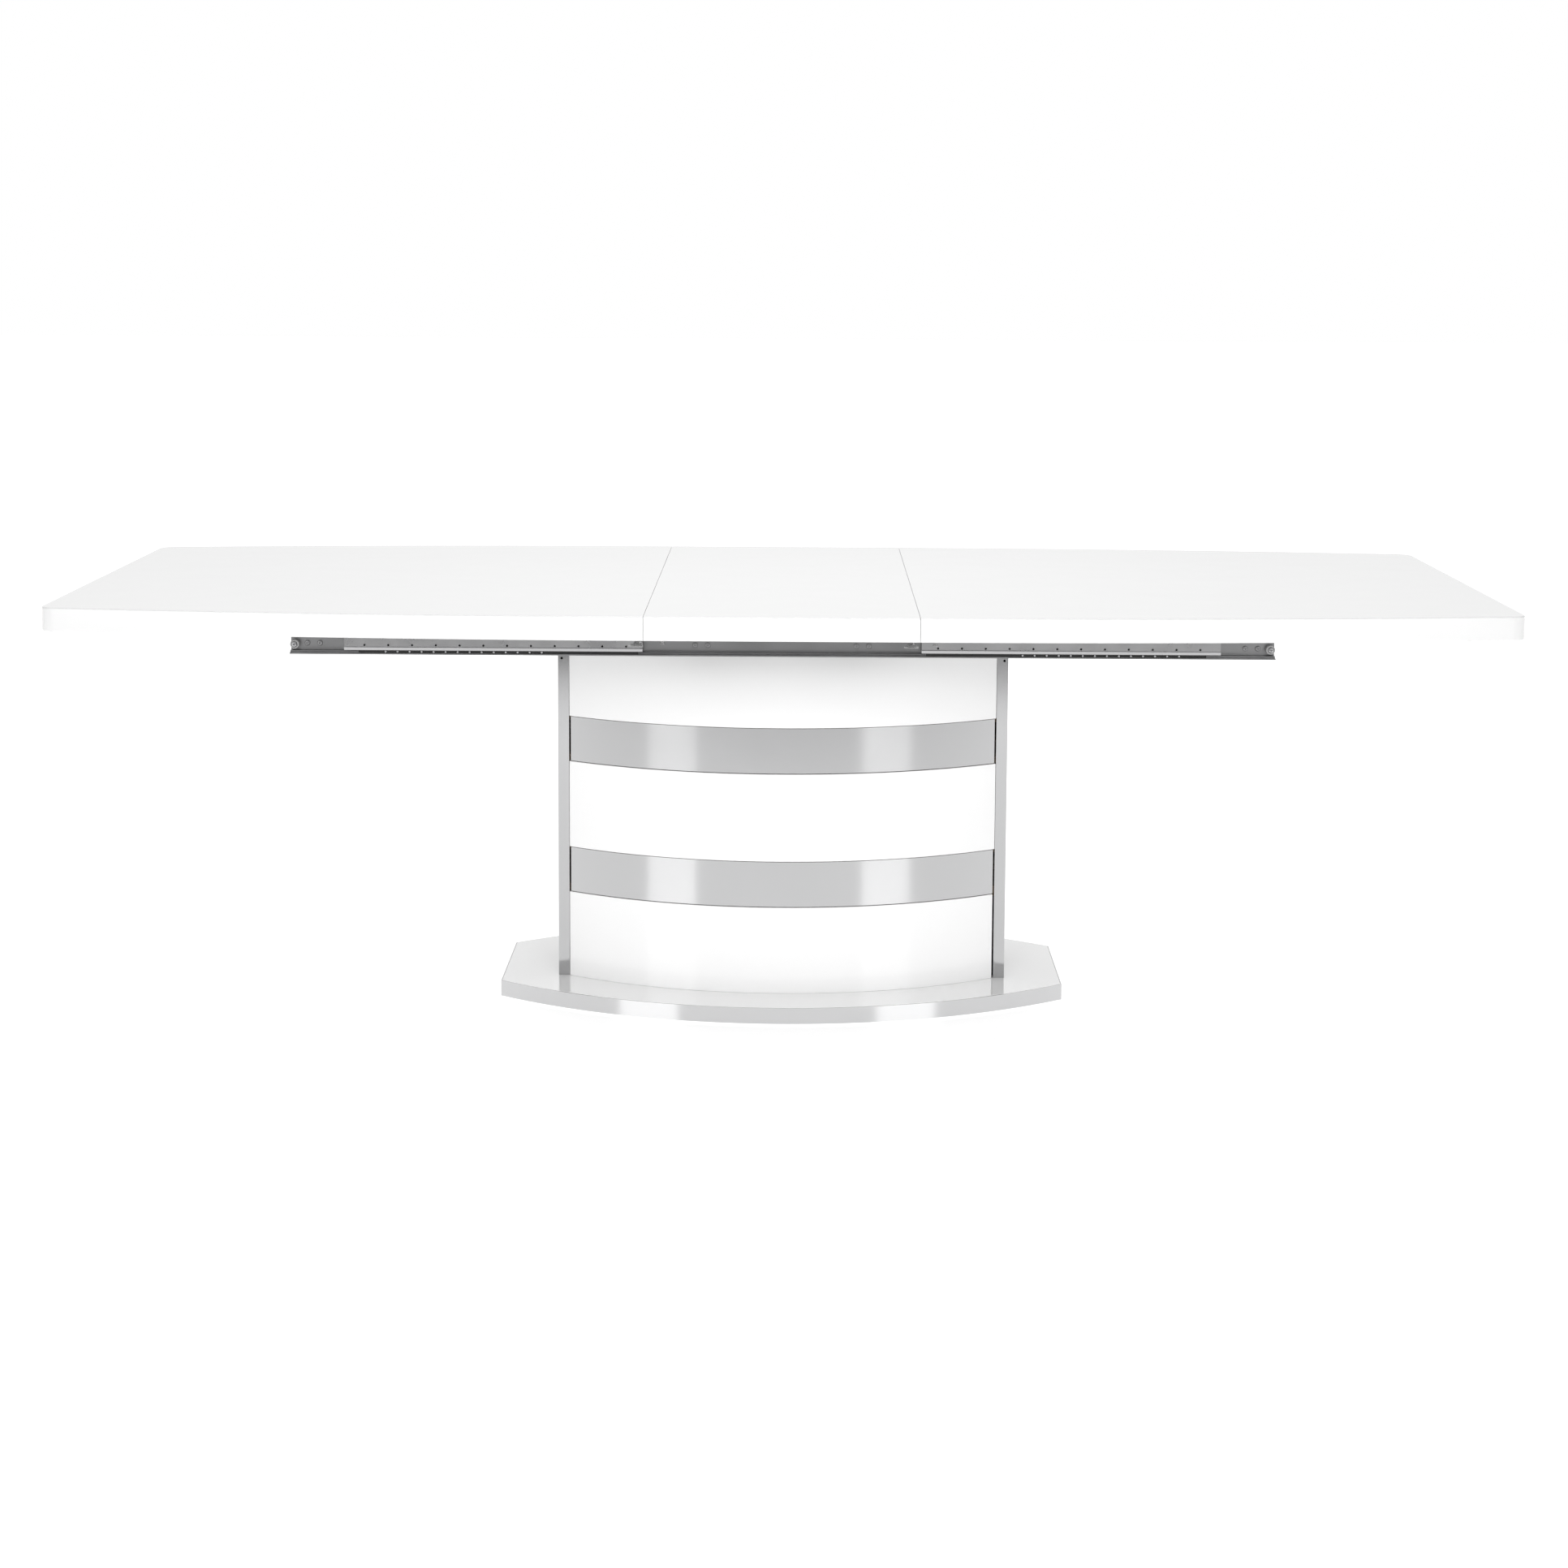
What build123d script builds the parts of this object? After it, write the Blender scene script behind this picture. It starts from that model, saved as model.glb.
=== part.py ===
"""Extendable dining table on a bowed pedestal column, with ball slides and one loose leaf.

Millimetres, +Z up. The origin is on the floor under the middle of the table, X runs along its length,
and -Y is the front. The table stands extended, with the leaf in place and the leaf catches open.
"""

import os
from math import sqrt

from build123d import *

os.makedirs("parts", exist_ok=True)

# Table top
TABLE_HEIGHT = 740.0
TOP_THICKNESS = 40.0
EXTENDED_LENGTH = 2450.0
LEAF_WIDTH = 450.0
SEAM_GAP = 0.6
MIDDLE_WIDTH = 1000.0
END_WIDTH = 874.0
CORNER_RADIUS = 30.0
EDGE_ROUND = 2.5
UNDERSIDE = TABLE_HEIGHT - TOP_THICKNESS
SEAM_X = LEAF_WIDTH / 2
HALF_START = SEAM_X + SEAM_GAP / 2
LEAF_EDGE = SEAM_X - SEAM_GAP / 2
TOP_END = EXTENDED_LENGTH / 2

# Base plate
BASE_LENGTH = 1000.0
BASE_DEPTH = 586.0
BASE_END_DEPTH = 258.0
BASE_TOP = 31.0
GLIDE_HEIGHT = 2.0
GLIDE_RADIUS = 14.0
GLIDE_STEM = (3.0, 10.0)
BAND_THICKNESS = 1.5
BAND_MARGIN = (0.5, 0.2)
BALLAST_SIZE = (150.0, 260.0, 12.0)
BALLAST_X = 375.0

# Column
COLUMN_HALF = 380.0
COLUMN_SIDE_DEPTH = 93.0
COLUMN_MID_DEPTH = 203.5
COLUMN_RADIUS = (COLUMN_HALF**2 + (COLUMN_MID_DEPTH - COLUMN_SIDE_DEPTH) ** 2) / (
    2 * (COLUMN_MID_DEPTH - COLUMN_SIDE_DEPTH)
)
COLUMN_ARC_CENTRE = COLUMN_RADIUS - COLUMN_MID_DEPTH
PANEL_THICKNESS = 16.0
STEEL_SHEET = 1.5
SHADOW_GAP = 1.2
BAND_END_GAP = 3.0
LOWER_BAND = (186.0, 266.0)
UPPER_BAND = (423.0, 502.5)
POST_WIDTH = 20.0
POST_WALL = 2.0
PLATE_THICKNESS = 6.0
RIB_THICKNESS = 18.0
RIB_WINDOW = (300.0, 180.0)
UPRIGHT_X = 200.0
UPRIGHT_SIZE = (60.0, 40.0)
UPRIGHT_WALL = 2.5
POST_HOLE = (3.0, 607.0, 2.2)
COLUMN_TOP = 651.5
FIT = 0.5

# Bolts: shank radius, hole radius, then head radius and height
BOLT_RADIUS = 4.0
BOLT_HOLE = 4.2
FOOT_BOLT_HEAD = (6.5, 5.0)
COUNTERBORE = (8.0, 8.0)
BEARER_BOLT_HEAD = (7.0, 4.0)
BEARER_BOLT_DROP = 8.0

# Long rails: a web with a flange above and below, and a ledge in front that the balls run on
RAIL_TOP = 695.5
RAIL_HALF_LENGTH = 820.0
RAIL_FRONT = 384.0
RAIL_BACK = 373.0
RAIL_WALL = 2.0
RAIL_BEND = 1.2
FLANGE = 1.4
LOWER_FLANGE_TOP = 663.6
UPPER_FLANGE_LOW = 689.5
LEDGE_BOTTOM = 658.4
LEDGE_TOP = 660.6
LEDGE_FRONT = 391.0

# Moving slides
SLIDE_START = 232.0
SLIDE_END = 729.0
SLIDE_BACK = 386.5
SLIDE_FRONT = 389.0
SLIDE_FLANGE_FRONT = 412.0
SLIDE_WALL = 2.5
SLIDE_BOTTOM = 665.5
SLIDE_LIP = (1.0, 2.5, 4.8, 5.6)
RUNNER_BACK = 376.5
RUNNER_TOP = 686.4
RUNNER_THICKNESS = 2.0
FACE_HOLE_START = 259.5
FACE_HOLE_PITCH = 39.6
FACE_HOLE_COUNT = 12
FACE_HOLE_RADIUS = 1.8
FACE_HOLE_Z = 674.0
STOP_LENGTH = 12.0
STOP_BACK = 379.0
STOP_BOTTOM = 665.5

# Balls and their cages: the lower row runs on the ledge, the upper row under the upper flange
BALL_PITCH = 20.0
BALL_COUNT = 14
FIRST_BALL = 400.0
LOWER_BALL = (388.5, 663.05, 2.4)
UPPER_BALL = (380.0, 687.95, 1.5)
LOWER_CAGE_X = (240.0, 705.0)
LOWER_CAGE_Y = (385.0, 389.3)
LOWER_CAGE_Z = (661.1, 665.0)
UPPER_CAGE_X = (390.0, 670.0)
UPPER_CAGE_Y = (376.5, 383.5)
UPPER_CAGE_Z = (687.15, 688.75)
POCKET_CLEARANCE = 0.15

# Cross members and fasteners
TIE_BOTTOM = COLUMN_TOP + PLATE_THICKNESS
TIE_HEIGHT = 36.5
TIE_WIDTH = 50.0
TIE_WALL = 2.5
CENTRE_TIE_X = 134.5
END_TIE_X = 782.0
INSERT_LENGTH = 20.0
INSERT_HEIGHT = 30.0
SCREW_SPACING = 21.0
SCREW_Z = 675.0
RAIL_SCREW_RADIUS = 3.0
RAIL_SCREW_HEAD = (4.5, 2.5)
RAIL_SCREW_INSET = 4.0
BUMPER_X = 812.5
BUMPER_Z = 674.0
BUMPER_RADIUS = 7.5
BUMPER_DEPTH = 11.0
BUMPER_BOLT_HEAD = (4.4, 3.5)
BUMPER_BOLT_TAIL = 5.0
SCREW_RADIUS = 2.0
SCREW_HEAD = 4.0
SCREW_HEAD_HEIGHT = 2.5
SCREW_DEPTH = 15.0
FLANGE_SCREW_Y = 401.0
FLANGE_SCREW_INSET = 28.0
FLANGE_SCREW_PITCH = 110.5
FLANGE_SCREW_COUNT = 5
HOLE_CLEARANCE = 0.1

# Leaf supports and catches
TONGUE_Y = (160.0, 240.0)
TONGUE_WIDTH = 40.0
TONGUE_THICKNESS = 4.0
TONGUE_REACH = 60.0
TONGUE_HOLD = 140.0
LEAF_CLEARANCE = 0.3
CATCH_Y = 426.0
CATCH_INSET = 12.0
CATCH_ARM = 40.0
CATCH_PLATE = 2.0
CATCH_SCREW_OFFSET = 8.0
PIVOT_PLATE = (20.0, 24.0)
KEEPER_PLATE = (18.0, 24.0)
STUD_RADIUS = 3.0
COLLAR = (1.8, 1.5)
PIN_RADIUS = 2.5
HOOK_TOP = 689.5
HOOK_THICKNESS = 3.0
HOOK_RIM = 6.5
HOOK_HUB = 6.8
HOOK_ARM_WIDTH = 8.0
THROAT_PLAY = 0.4
CATCH_BOTTOM = 684.0

BOTTOM_UP = (Align.CENTER, Align.CENTER, Align.MIN)
FACES = (("front", -1), ("rear", 1))
ENDS = (("left", -1), ("right", 1))


def save(piece, name):
    """Label a finished piece and write its STEP file."""
    piece.part.label = name
    export_step(piece.part, f"parts/{name}.step")


def bow_outline(half_length, end_depth, mid_depth):
    """Draw a face with straight ends, whose front and back edges are shallow arcs."""
    with BuildLine() as outline:
        ThreePointArc((-half_length, -end_depth), (0, -mid_depth), (half_length, -end_depth))
        Line((half_length, -end_depth), (half_length, end_depth))
        ThreePointArc((half_length, end_depth), (0, mid_depth), (-half_length, end_depth))
        Line((-half_length, end_depth), (-half_length, -end_depth))
    make_face(outline.edges())


def column_outline(half_length, inset):
    """Draw the column's plan, held in from its outer surface by inset."""
    Rectangle(2 * half_length, 2 * COLUMN_MID_DEPTH)
    for centre_y in (-COLUMN_ARC_CENTRE, COLUMN_ARC_CENTRE):
        with Locations((0, centre_y)):
            Circle(COLUMN_RADIUS - inset, mode=Mode.INTERSECT)


def skin_outline(side, left, right, inset, thickness):
    """Draw a strip that follows the column's bowed front or back between two X values."""
    with Locations((0, -side * COLUMN_ARC_CENTRE)):
        Circle(COLUMN_RADIUS - inset)
        Circle(COLUMN_RADIUS - inset - thickness, mode=Mode.SUBTRACT)
    with Locations(((left + right) / 2, side * (COLUMN_SIDE_DEPTH + COLUMN_MID_DEPTH) / 2)):
        Rectangle(right - left, COLUMN_MID_DEPTH, mode=Mode.INTERSECT)


def bars(spots, radius, length):
    """Add upright round bars that start at the given points and run up."""
    with Locations(*spots):
        Cylinder(radius, length, align=BOTTOM_UP)


def cross_bars(spots, radius, length, side):
    """Add round bars along Y that start at the given points and run outwards on one face."""
    with Locations(*spots):
        Cylinder(radius, length, rotation=(-90 * side, 0, 0), align=BOTTOM_UP)


def wood_screws(points, seat):
    """Add pan head screws that hang from a plate's lower face and run up into the board."""
    bars([(x, y, seat - SCREW_HEAD_HEIGHT) for x, y in points], SCREW_HEAD, SCREW_HEAD_HEIGHT)
    bars([(x, y, seat) for x, y in points], SCREW_RADIUS, UNDERSIDE + SCREW_DEPTH - seat)


def pilot_holes(points):
    """Cut the holes that the wood screws run into."""
    with Locations(*[(x, y, UNDERSIDE) for x, y in points]):
        Cylinder(SCREW_RADIUS + HOLE_CLEARANCE, SCREW_DEPTH + 1, align=BOTTOM_UP, mode=Mode.SUBTRACT)


# Places shared by boards, plates and screws. Each list is for one end of the table or for the leaf.
def slide_screw_points(end):
    """Wood screws through the flanges of one end's two slides."""
    first = SLIDE_START + FLANGE_SCREW_INSET
    spots = [first + step * FLANGE_SCREW_PITCH for step in range(FLANGE_SCREW_COUNT)]
    return [(end * x, side * FLANGE_SCREW_Y) for x in spots for _, side in FACES]


def tongue_centres(end):
    """Y of one end's two tongues, staggered so that left and right pass each other when closed."""
    return (-TONGUE_Y[1], TONGUE_Y[0]) if end < 0 else (-TONGUE_Y[0], TONGUE_Y[1])


def tongue_screw_points(end):
    """Wood screws that hold one end's two tongues."""
    return [(end * (SEAM_X + x), y) for x in (40.0, 110.0) for y in tongue_centres(end)]


def catch_screw_points(x):
    """Wood screws each side of a catch plate or keeper plate, front and back."""
    offsets = (-CATCH_SCREW_OFFSET, CATCH_SCREW_OFFSET)
    return [(x, side * CATCH_Y + dy) for _, side in FACES for dy in offsets]


PIVOT_X = {"left": -SEAM_X - CATCH_INSET, "right": SEAM_X - CATCH_INSET}
KEEPER_X = {"left": PIVOT_X["left"] + CATCH_ARM, "right": PIVOT_X["right"] + CATCH_ARM}
PIVOT_SCREWS = {name: catch_screw_points(x) for name, x in PIVOT_X.items()}
KEEPER_SCREWS = {name: catch_screw_points(x) for name, x in KEEPER_X.items()}
BOARD_SCREWS = {
    "left": slide_screw_points(-1) + tongue_screw_points(-1) + PIVOT_SCREWS["left"],
    "right": slide_screw_points(1) + tongue_screw_points(1) + KEEPER_SCREWS["right"],
    "leaf": KEEPER_SCREWS["left"] + PIVOT_SCREWS["right"],
}
GLIDE_POINTS = [(x, y) for x in (-475.0, 475.0) for y in (-100.0, 100.0)] + [(0, -250.0), (0, 250.0)]
FOOT_BOLT_POINTS = [(x, y) for x in (-250.0, 0.0, 250.0) for y in (-110.0, 110.0)]
BEARER_BOLT_POINTS = [(x, y) for x in (-CENTRE_TIE_X, CENTRE_TIE_X) for y in (-60.0, 60.0)]

# ---------------------------------------------------------------- table top
bow_drop = (MIDDLE_WIDTH - END_WIDTH) / 2
bow_run = TOP_END - SEAM_X
bow_radius = (bow_run**2 + bow_drop**2) / (2 * bow_drop)
bow_middle = (TOP_END + HALF_START) / 2
bow_middle_y = MIDDLE_WIDTH / 2 - bow_radius + sqrt(bow_radius**2 - (bow_middle - SEAM_X) ** 2)

for end_name, end in ENDS:
    with BuildPart() as top_half:
        with BuildSketch(Plane.XY.offset(UNDERSIDE)):
            with BuildLine():
                seam_corner = (end * HALF_START, MIDDLE_WIDTH / 2)
                end_corner = (end * TOP_END, END_WIDTH / 2)
                ThreePointArc(seam_corner, (end * bow_middle, bow_middle_y), end_corner)
                Line(end_corner, (end * TOP_END, -END_WIDTH / 2))
                ThreePointArc(
                    (end * TOP_END, -END_WIDTH / 2),
                    (end * bow_middle, -bow_middle_y),
                    (end * HALF_START, -MIDDLE_WIDTH / 2),
                )
                Line((end * HALF_START, -MIDDLE_WIDTH / 2), seam_corner)
            outline = make_face()
            outer_end = -1 if end > 0 else 0
            fillet(outline.vertices().group_by(Axis.X)[outer_end], radius=CORNER_RADIUS)
        extrude(amount=TOP_THICKNESS)
        rims = top_half.faces().filter_by(Axis.Z).edges()
        fillet(rims.filter_by(lambda e: abs(e.center().X) > HALF_START + 1), radius=EDGE_ROUND)
        pilot_holes(BOARD_SCREWS[end_name])
    save(top_half, f"{end_name}_top")

with BuildPart() as leaf:
    with BuildSketch(Plane.XY.offset(UNDERSIDE)):
        Rectangle(2 * LEAF_EDGE, MIDDLE_WIDTH)
    extrude(amount=TOP_THICKNESS)
    fillet(leaf.edges().filter_by(Axis.X), radius=EDGE_ROUND)
    pilot_holes(BOARD_SCREWS["leaf"])
save(leaf, "leaf")

# ---------------------------------------------------------------- base plate
with BuildPart() as base_board:
    with BuildSketch(Plane.XY.offset(GLIDE_HEIGHT)):
        bow_outline(BASE_LENGTH / 2, BASE_END_DEPTH / 2, BASE_DEPTH / 2)
        offset(amount=-BAND_THICKNESS, kind=Kind.INTERSECTION)
    extrude(amount=BASE_TOP - GLIDE_HEIGHT)
    with Locations((-BALLAST_X, 0, GLIDE_HEIGHT), (BALLAST_X, 0, GLIDE_HEIGHT)):
        Box(*BALLAST_SIZE, align=BOTTOM_UP, mode=Mode.SUBTRACT)
    with Locations(*[(x, y, GLIDE_HEIGHT) for x, y in FOOT_BOLT_POINTS]):
        Cylinder(BOLT_HOLE, BASE_TOP, align=BOTTOM_UP, mode=Mode.SUBTRACT)
        Cylinder(*COUNTERBORE, align=BOTTOM_UP, mode=Mode.SUBTRACT)
    with Locations(*[(x, y, GLIDE_HEIGHT) for x, y in GLIDE_POINTS]):
        stem_radius, stem_length = GLIDE_STEM
        Cylinder(stem_radius + HOLE_CLEARANCE, stem_length + 2, align=BOTTOM_UP, mode=Mode.SUBTRACT)
save(base_board, "base_board")

with BuildPart() as base_edge_band:
    with BuildSketch(Plane.XY.offset(GLIDE_HEIGHT + BAND_MARGIN[0])):
        bow_outline(BASE_LENGTH / 2, BASE_END_DEPTH / 2, BASE_DEPTH / 2)
        offset(amount=-BAND_THICKNESS, kind=Kind.INTERSECTION, mode=Mode.SUBTRACT)
    extrude(amount=BASE_TOP - GLIDE_HEIGHT - sum(BAND_MARGIN))
save(base_edge_band, "base_edge_band")

with BuildPart() as ballast_plates:
    with Locations((-BALLAST_X, 0, GLIDE_HEIGHT), (BALLAST_X, 0, GLIDE_HEIGHT)):
        Box(*BALLAST_SIZE, align=BOTTOM_UP)
save(ballast_plates, "ballast_plates")

with BuildPart() as base_glides:
    bars([(x, y, 0) for x, y in GLIDE_POINTS], GLIDE_RADIUS, GLIDE_HEIGHT)
    bars([(x, y, GLIDE_HEIGHT) for x, y in GLIDE_POINTS], *GLIDE_STEM)
    fillet(base_glides.faces().sort_by(Axis.Z)[: len(GLIDE_POINTS)].edges(), radius=0.6)
save(base_glides, "base_glides")

# ---------------------------------------------------------------- column frame
foot_top = BASE_TOP + PLATE_THICKNESS

with BuildPart() as foot_plate:
    with BuildSketch(Plane.XY.offset(BASE_TOP)):
        column_outline(COLUMN_HALF, PANEL_THICKNESS + FIT)
    extrude(amount=PLATE_THICKNESS)
    with Locations(*[(x, y, BASE_TOP) for x, y in FOOT_BOLT_POINTS]):
        Cylinder(BOLT_HOLE, PLATE_THICKNESS, align=BOTTOM_UP, mode=Mode.SUBTRACT)
save(foot_plate, "foot_plate")

with BuildPart() as foot_bolts:
    seat = GLIDE_HEIGHT + COUNTERBORE[1]
    bars([(x, y, seat - FOOT_BOLT_HEAD[1]) for x, y in FOOT_BOLT_POINTS], *FOOT_BOLT_HEAD)
    bars([(x, y, seat) for x, y in FOOT_BOLT_POINTS], BOLT_RADIUS, foot_top - GLIDE_HEIGHT)
save(foot_bolts, "foot_bolts")

for end_name, end in ENDS:
    post_x = end * (COLUMN_HALF + POST_WIDTH / 2)
    with BuildPart() as post:
        with BuildSketch(Plane.XY.offset(BASE_TOP)):
            with Locations((post_x, 0)):
                Rectangle(POST_WIDTH, 2 * COLUMN_SIDE_DEPTH)
                hollow = (POST_WIDTH - 2 * POST_WALL, 2 * (COLUMN_SIDE_DEPTH - POST_WALL))
                Rectangle(*hollow, mode=Mode.SUBTRACT)
        extrude(amount=COLUMN_TOP - BASE_TOP)
        outer_uprights = post.edges().filter_by(Axis.Z).filter_by(
            lambda e: abs(abs(e.center().Y) - COLUMN_SIDE_DEPTH) < 0.1
        )
        fillet(outer_uprights, radius=0.8)
        hole_offset, hole_z, hole_radius = POST_HOLE
        with Locations((post_x + end * hole_offset, -COLUMN_SIDE_DEPTH, hole_z)):
            Cylinder(hole_radius, 4 * POST_WALL, rotation=(90, 0, 0), mode=Mode.SUBTRACT)
    save(post, f"{end_name}_post")

with BuildPart() as core_uprights:
    with BuildSketch(Plane.XY.offset(foot_top)):
        with Locations((-UPRIGHT_X, 0), (UPRIGHT_X, 0)):
            Rectangle(*UPRIGHT_SIZE)
            Rectangle(*[width - 2 * UPRIGHT_WALL for width in UPRIGHT_SIZE], mode=Mode.SUBTRACT)
    extrude(amount=COLUMN_TOP - foot_top)
save(core_uprights, "core_uprights")

rib_heights = [joint - RIB_THICKNESS / 2 for joint in (*LOWER_BAND, *UPPER_BAND)]
with BuildPart() as column_ribs:
    for rib_height in [*rib_heights, COLUMN_TOP - RIB_THICKNESS]:
        with BuildSketch(Plane.XY.offset(rib_height)):
            column_outline(COLUMN_HALF, PANEL_THICKNESS + FIT)
            with Locations((-UPRIGHT_X, 0), (UPRIGHT_X, 0)):
                Rectangle(UPRIGHT_SIZE[0] + FIT, UPRIGHT_SIZE[1] + FIT, mode=Mode.SUBTRACT)
            Rectangle(*RIB_WINDOW, mode=Mode.SUBTRACT)
        extrude(amount=RIB_THICKNESS)
save(column_ribs, "column_ribs")

with BuildPart() as column_top_plate:
    with BuildSketch(Plane.XY.offset(COLUMN_TOP)):
        column_outline(COLUMN_HALF + POST_WIDTH, 2.0)
    extrude(amount=PLATE_THICKNESS)
    with Locations(*[(x, y, COLUMN_TOP) for x, y in BEARER_BOLT_POINTS]):
        Cylinder(BOLT_HOLE, PLATE_THICKNESS, align=BOTTOM_UP, mode=Mode.SUBTRACT)
save(column_top_plate, "column_top_plate")

# ---------------------------------------------------------------- column skin
panel_levels = {
    "lower": (BASE_TOP + FIT, LOWER_BAND[0] - SHADOW_GAP),
    "middle": (LOWER_BAND[1] + SHADOW_GAP / 2, UPPER_BAND[0] - SHADOW_GAP),
    "upper": (UPPER_BAND[1] + SHADOW_GAP / 2, COLUMN_TOP - FIT),
}
band_levels = {"lower": LOWER_BAND, "upper": UPPER_BAND}

for face_name, side in FACES:
    for level, (low, high) in panel_levels.items():
        right_gap = BAND_END_GAP if level == "lower" else FIT
        with BuildPart() as panel:
            with BuildSketch(Plane.XY.offset(low)):
                skin_outline(side, FIT - COLUMN_HALF, COLUMN_HALF - right_gap, 0, PANEL_THICKNESS)
            extrude(amount=high - low)
            outer_face = panel.faces().filter_by(GeomType.CYLINDER).sort_by(Axis.Y)[0 if side < 0 else -1]
            fillet(outer_face.edges(), radius=1.0)
        save(panel, f"{face_name}_{level}_panel")
    for level, (low, high) in band_levels.items():
        with BuildPart() as band:
            with BuildSketch(Plane.XY.offset(low)):
                reach = COLUMN_HALF - BAND_END_GAP
                skin_outline(side, -reach, reach, FIT, STEEL_SHEET)
            extrude(amount=high - low)
        save(band, f"{face_name}_{level}_band")

# ---------------------------------------------------------------- cross members
for name, tie_x in (("centre_bearers", CENTRE_TIE_X), ("end_ties", END_TIE_X)):
    with BuildPart() as tubes:
        with BuildSketch(Plane.XZ.offset(-RAIL_BACK)):
            with Locations((-tie_x, TIE_BOTTOM + TIE_HEIGHT / 2), (tie_x, TIE_BOTTOM + TIE_HEIGHT / 2)):
                Rectangle(TIE_WIDTH, TIE_HEIGHT)
                Rectangle(TIE_WIDTH - 2 * TIE_WALL, TIE_HEIGHT - 2 * TIE_WALL, mode=Mode.SUBTRACT)
        extrude(amount=2 * RAIL_BACK)
        if tie_x == CENTRE_TIE_X:
            with Locations(*[(x, y, TIE_BOTTOM) for x, y in BEARER_BOLT_POINTS]):
                Cylinder(BOLT_HOLE, TIE_HEIGHT, align=BOTTOM_UP, mode=Mode.SUBTRACT)
    save(tubes, name)

tie_centres = (-END_TIE_X, -CENTRE_TIE_X, CENTRE_TIE_X, END_TIE_X)
web_screw_x = [x + dx for x in tie_centres for dx in (-SCREW_SPACING / 2, SCREW_SPACING / 2)]
insert_back = RAIL_BACK - INSERT_LENGTH

with BuildPart() as bearer_inserts:
    for _, side in FACES:
        with Locations(*[(x, side * (RAIL_BACK - INSERT_LENGTH / 2), SCREW_Z) for x in tie_centres]):
            Box(TIE_WIDTH - 2 * TIE_WALL - FIT, INSERT_LENGTH, INSERT_HEIGHT)
        with Locations(*[(x, side * insert_back, SCREW_Z) for x in web_screw_x]):
            Cylinder(
                RAIL_SCREW_RADIUS + HOLE_CLEARANCE,
                INSERT_LENGTH,
                rotation=(-90 * side, 0, 0),
                align=BOTTOM_UP,
                mode=Mode.SUBTRACT,
            )
save(bearer_inserts, "bearer_inserts")

with BuildPart() as bearer_bolts:
    tie_top = TIE_BOTTOM + TIE_HEIGHT
    bars([(x, y, tie_top) for x, y in BEARER_BOLT_POINTS], *BEARER_BOLT_HEAD)
    bolt_foot = COLUMN_TOP - BEARER_BOLT_DROP
    bars([(x, y, bolt_foot) for x, y in BEARER_BOLT_POINTS], BOLT_RADIUS, tie_top - bolt_foot)
save(bearer_bolts, "bearer_bolts")

# ---------------------------------------------------------------- long rails
web_face = RAIL_BACK + RAIL_WALL
web_screw_spots = [(x, SCREW_Z) for x in web_screw_x]
bumper_xz = [(-BUMPER_X, BUMPER_Z), (BUMPER_X, BUMPER_Z)]

for face_name, side in FACES:
    with BuildPart() as long_rail:
        with BuildSketch(Plane.YZ.offset(-RAIL_HALF_LENGTH)):
            web_bottom = LOWER_FLANGE_TOP - FLANGE
            with Locations((side * (RAIL_BACK + RAIL_WALL / 2), (web_bottom + RAIL_TOP) / 2)):
                Rectangle(RAIL_WALL, RAIL_TOP - web_bottom)
            flange_middle = side * (RAIL_BACK + RAIL_FRONT) / 2
            with Locations(
                (flange_middle, LOWER_FLANGE_TOP - FLANGE / 2),
                (flange_middle, UPPER_FLANGE_LOW + FLANGE / 2),
            ):
                Rectangle(RAIL_FRONT - RAIL_BACK, FLANGE)
            lip_y = side * (RAIL_FRONT - FLANGE / 2)
            with Locations((lip_y, (LEDGE_BOTTOM + LOWER_FLANGE_TOP) / 2)):
                Rectangle(FLANGE, LOWER_FLANGE_TOP - LEDGE_BOTTOM)
            with Locations((lip_y, (UPPER_FLANGE_LOW + RAIL_TOP) / 2)):
                Rectangle(FLANGE, RAIL_TOP - UPPER_FLANGE_LOW)
            ledge_back = RAIL_FRONT - FLANGE
            with Locations((side * (ledge_back + LEDGE_FRONT) / 2, (LEDGE_BOTTOM + LEDGE_TOP) / 2)):
                Rectangle(LEDGE_FRONT - ledge_back, LEDGE_TOP - LEDGE_BOTTOM)
        extrude(amount=2 * RAIL_HALF_LENGTH)
        bends = long_rail.edges().filter_by(Axis.X).filter_by(
            lambda e: abs(abs(e.center().Y) - web_face) < 0.01
            and min(abs(e.center().Z - LOWER_FLANGE_TOP), abs(e.center().Z - UPPER_FLANGE_LOW)) < 0.01
        )
        fillet(bends, radius=RAIL_BEND)
        web_middle = side * (RAIL_BACK + RAIL_WALL / 2)
        with Locations(*[(x, web_middle, z) for x, z in web_screw_spots + bumper_xz]):
            hole_radius = RAIL_SCREW_RADIUS + HOLE_CLEARANCE
            Cylinder(hole_radius, 2 * RAIL_WALL, rotation=(90, 0, 0), mode=Mode.SUBTRACT)
    save(long_rail, f"{face_name}_long_rail")

with BuildPart() as rail_screws:
    for _, side in FACES:
        cross_bars([(x, side * web_face, z) for x, z in web_screw_spots], *RAIL_SCREW_HEAD, side)
        shank_foot = insert_back + RAIL_SCREW_INSET
        shank_spots = [(x, side * shank_foot, z) for x, z in web_screw_spots]
        cross_bars(shank_spots, RAIL_SCREW_RADIUS, web_face - shank_foot, side)
save(rail_screws, "rail_screws")

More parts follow.
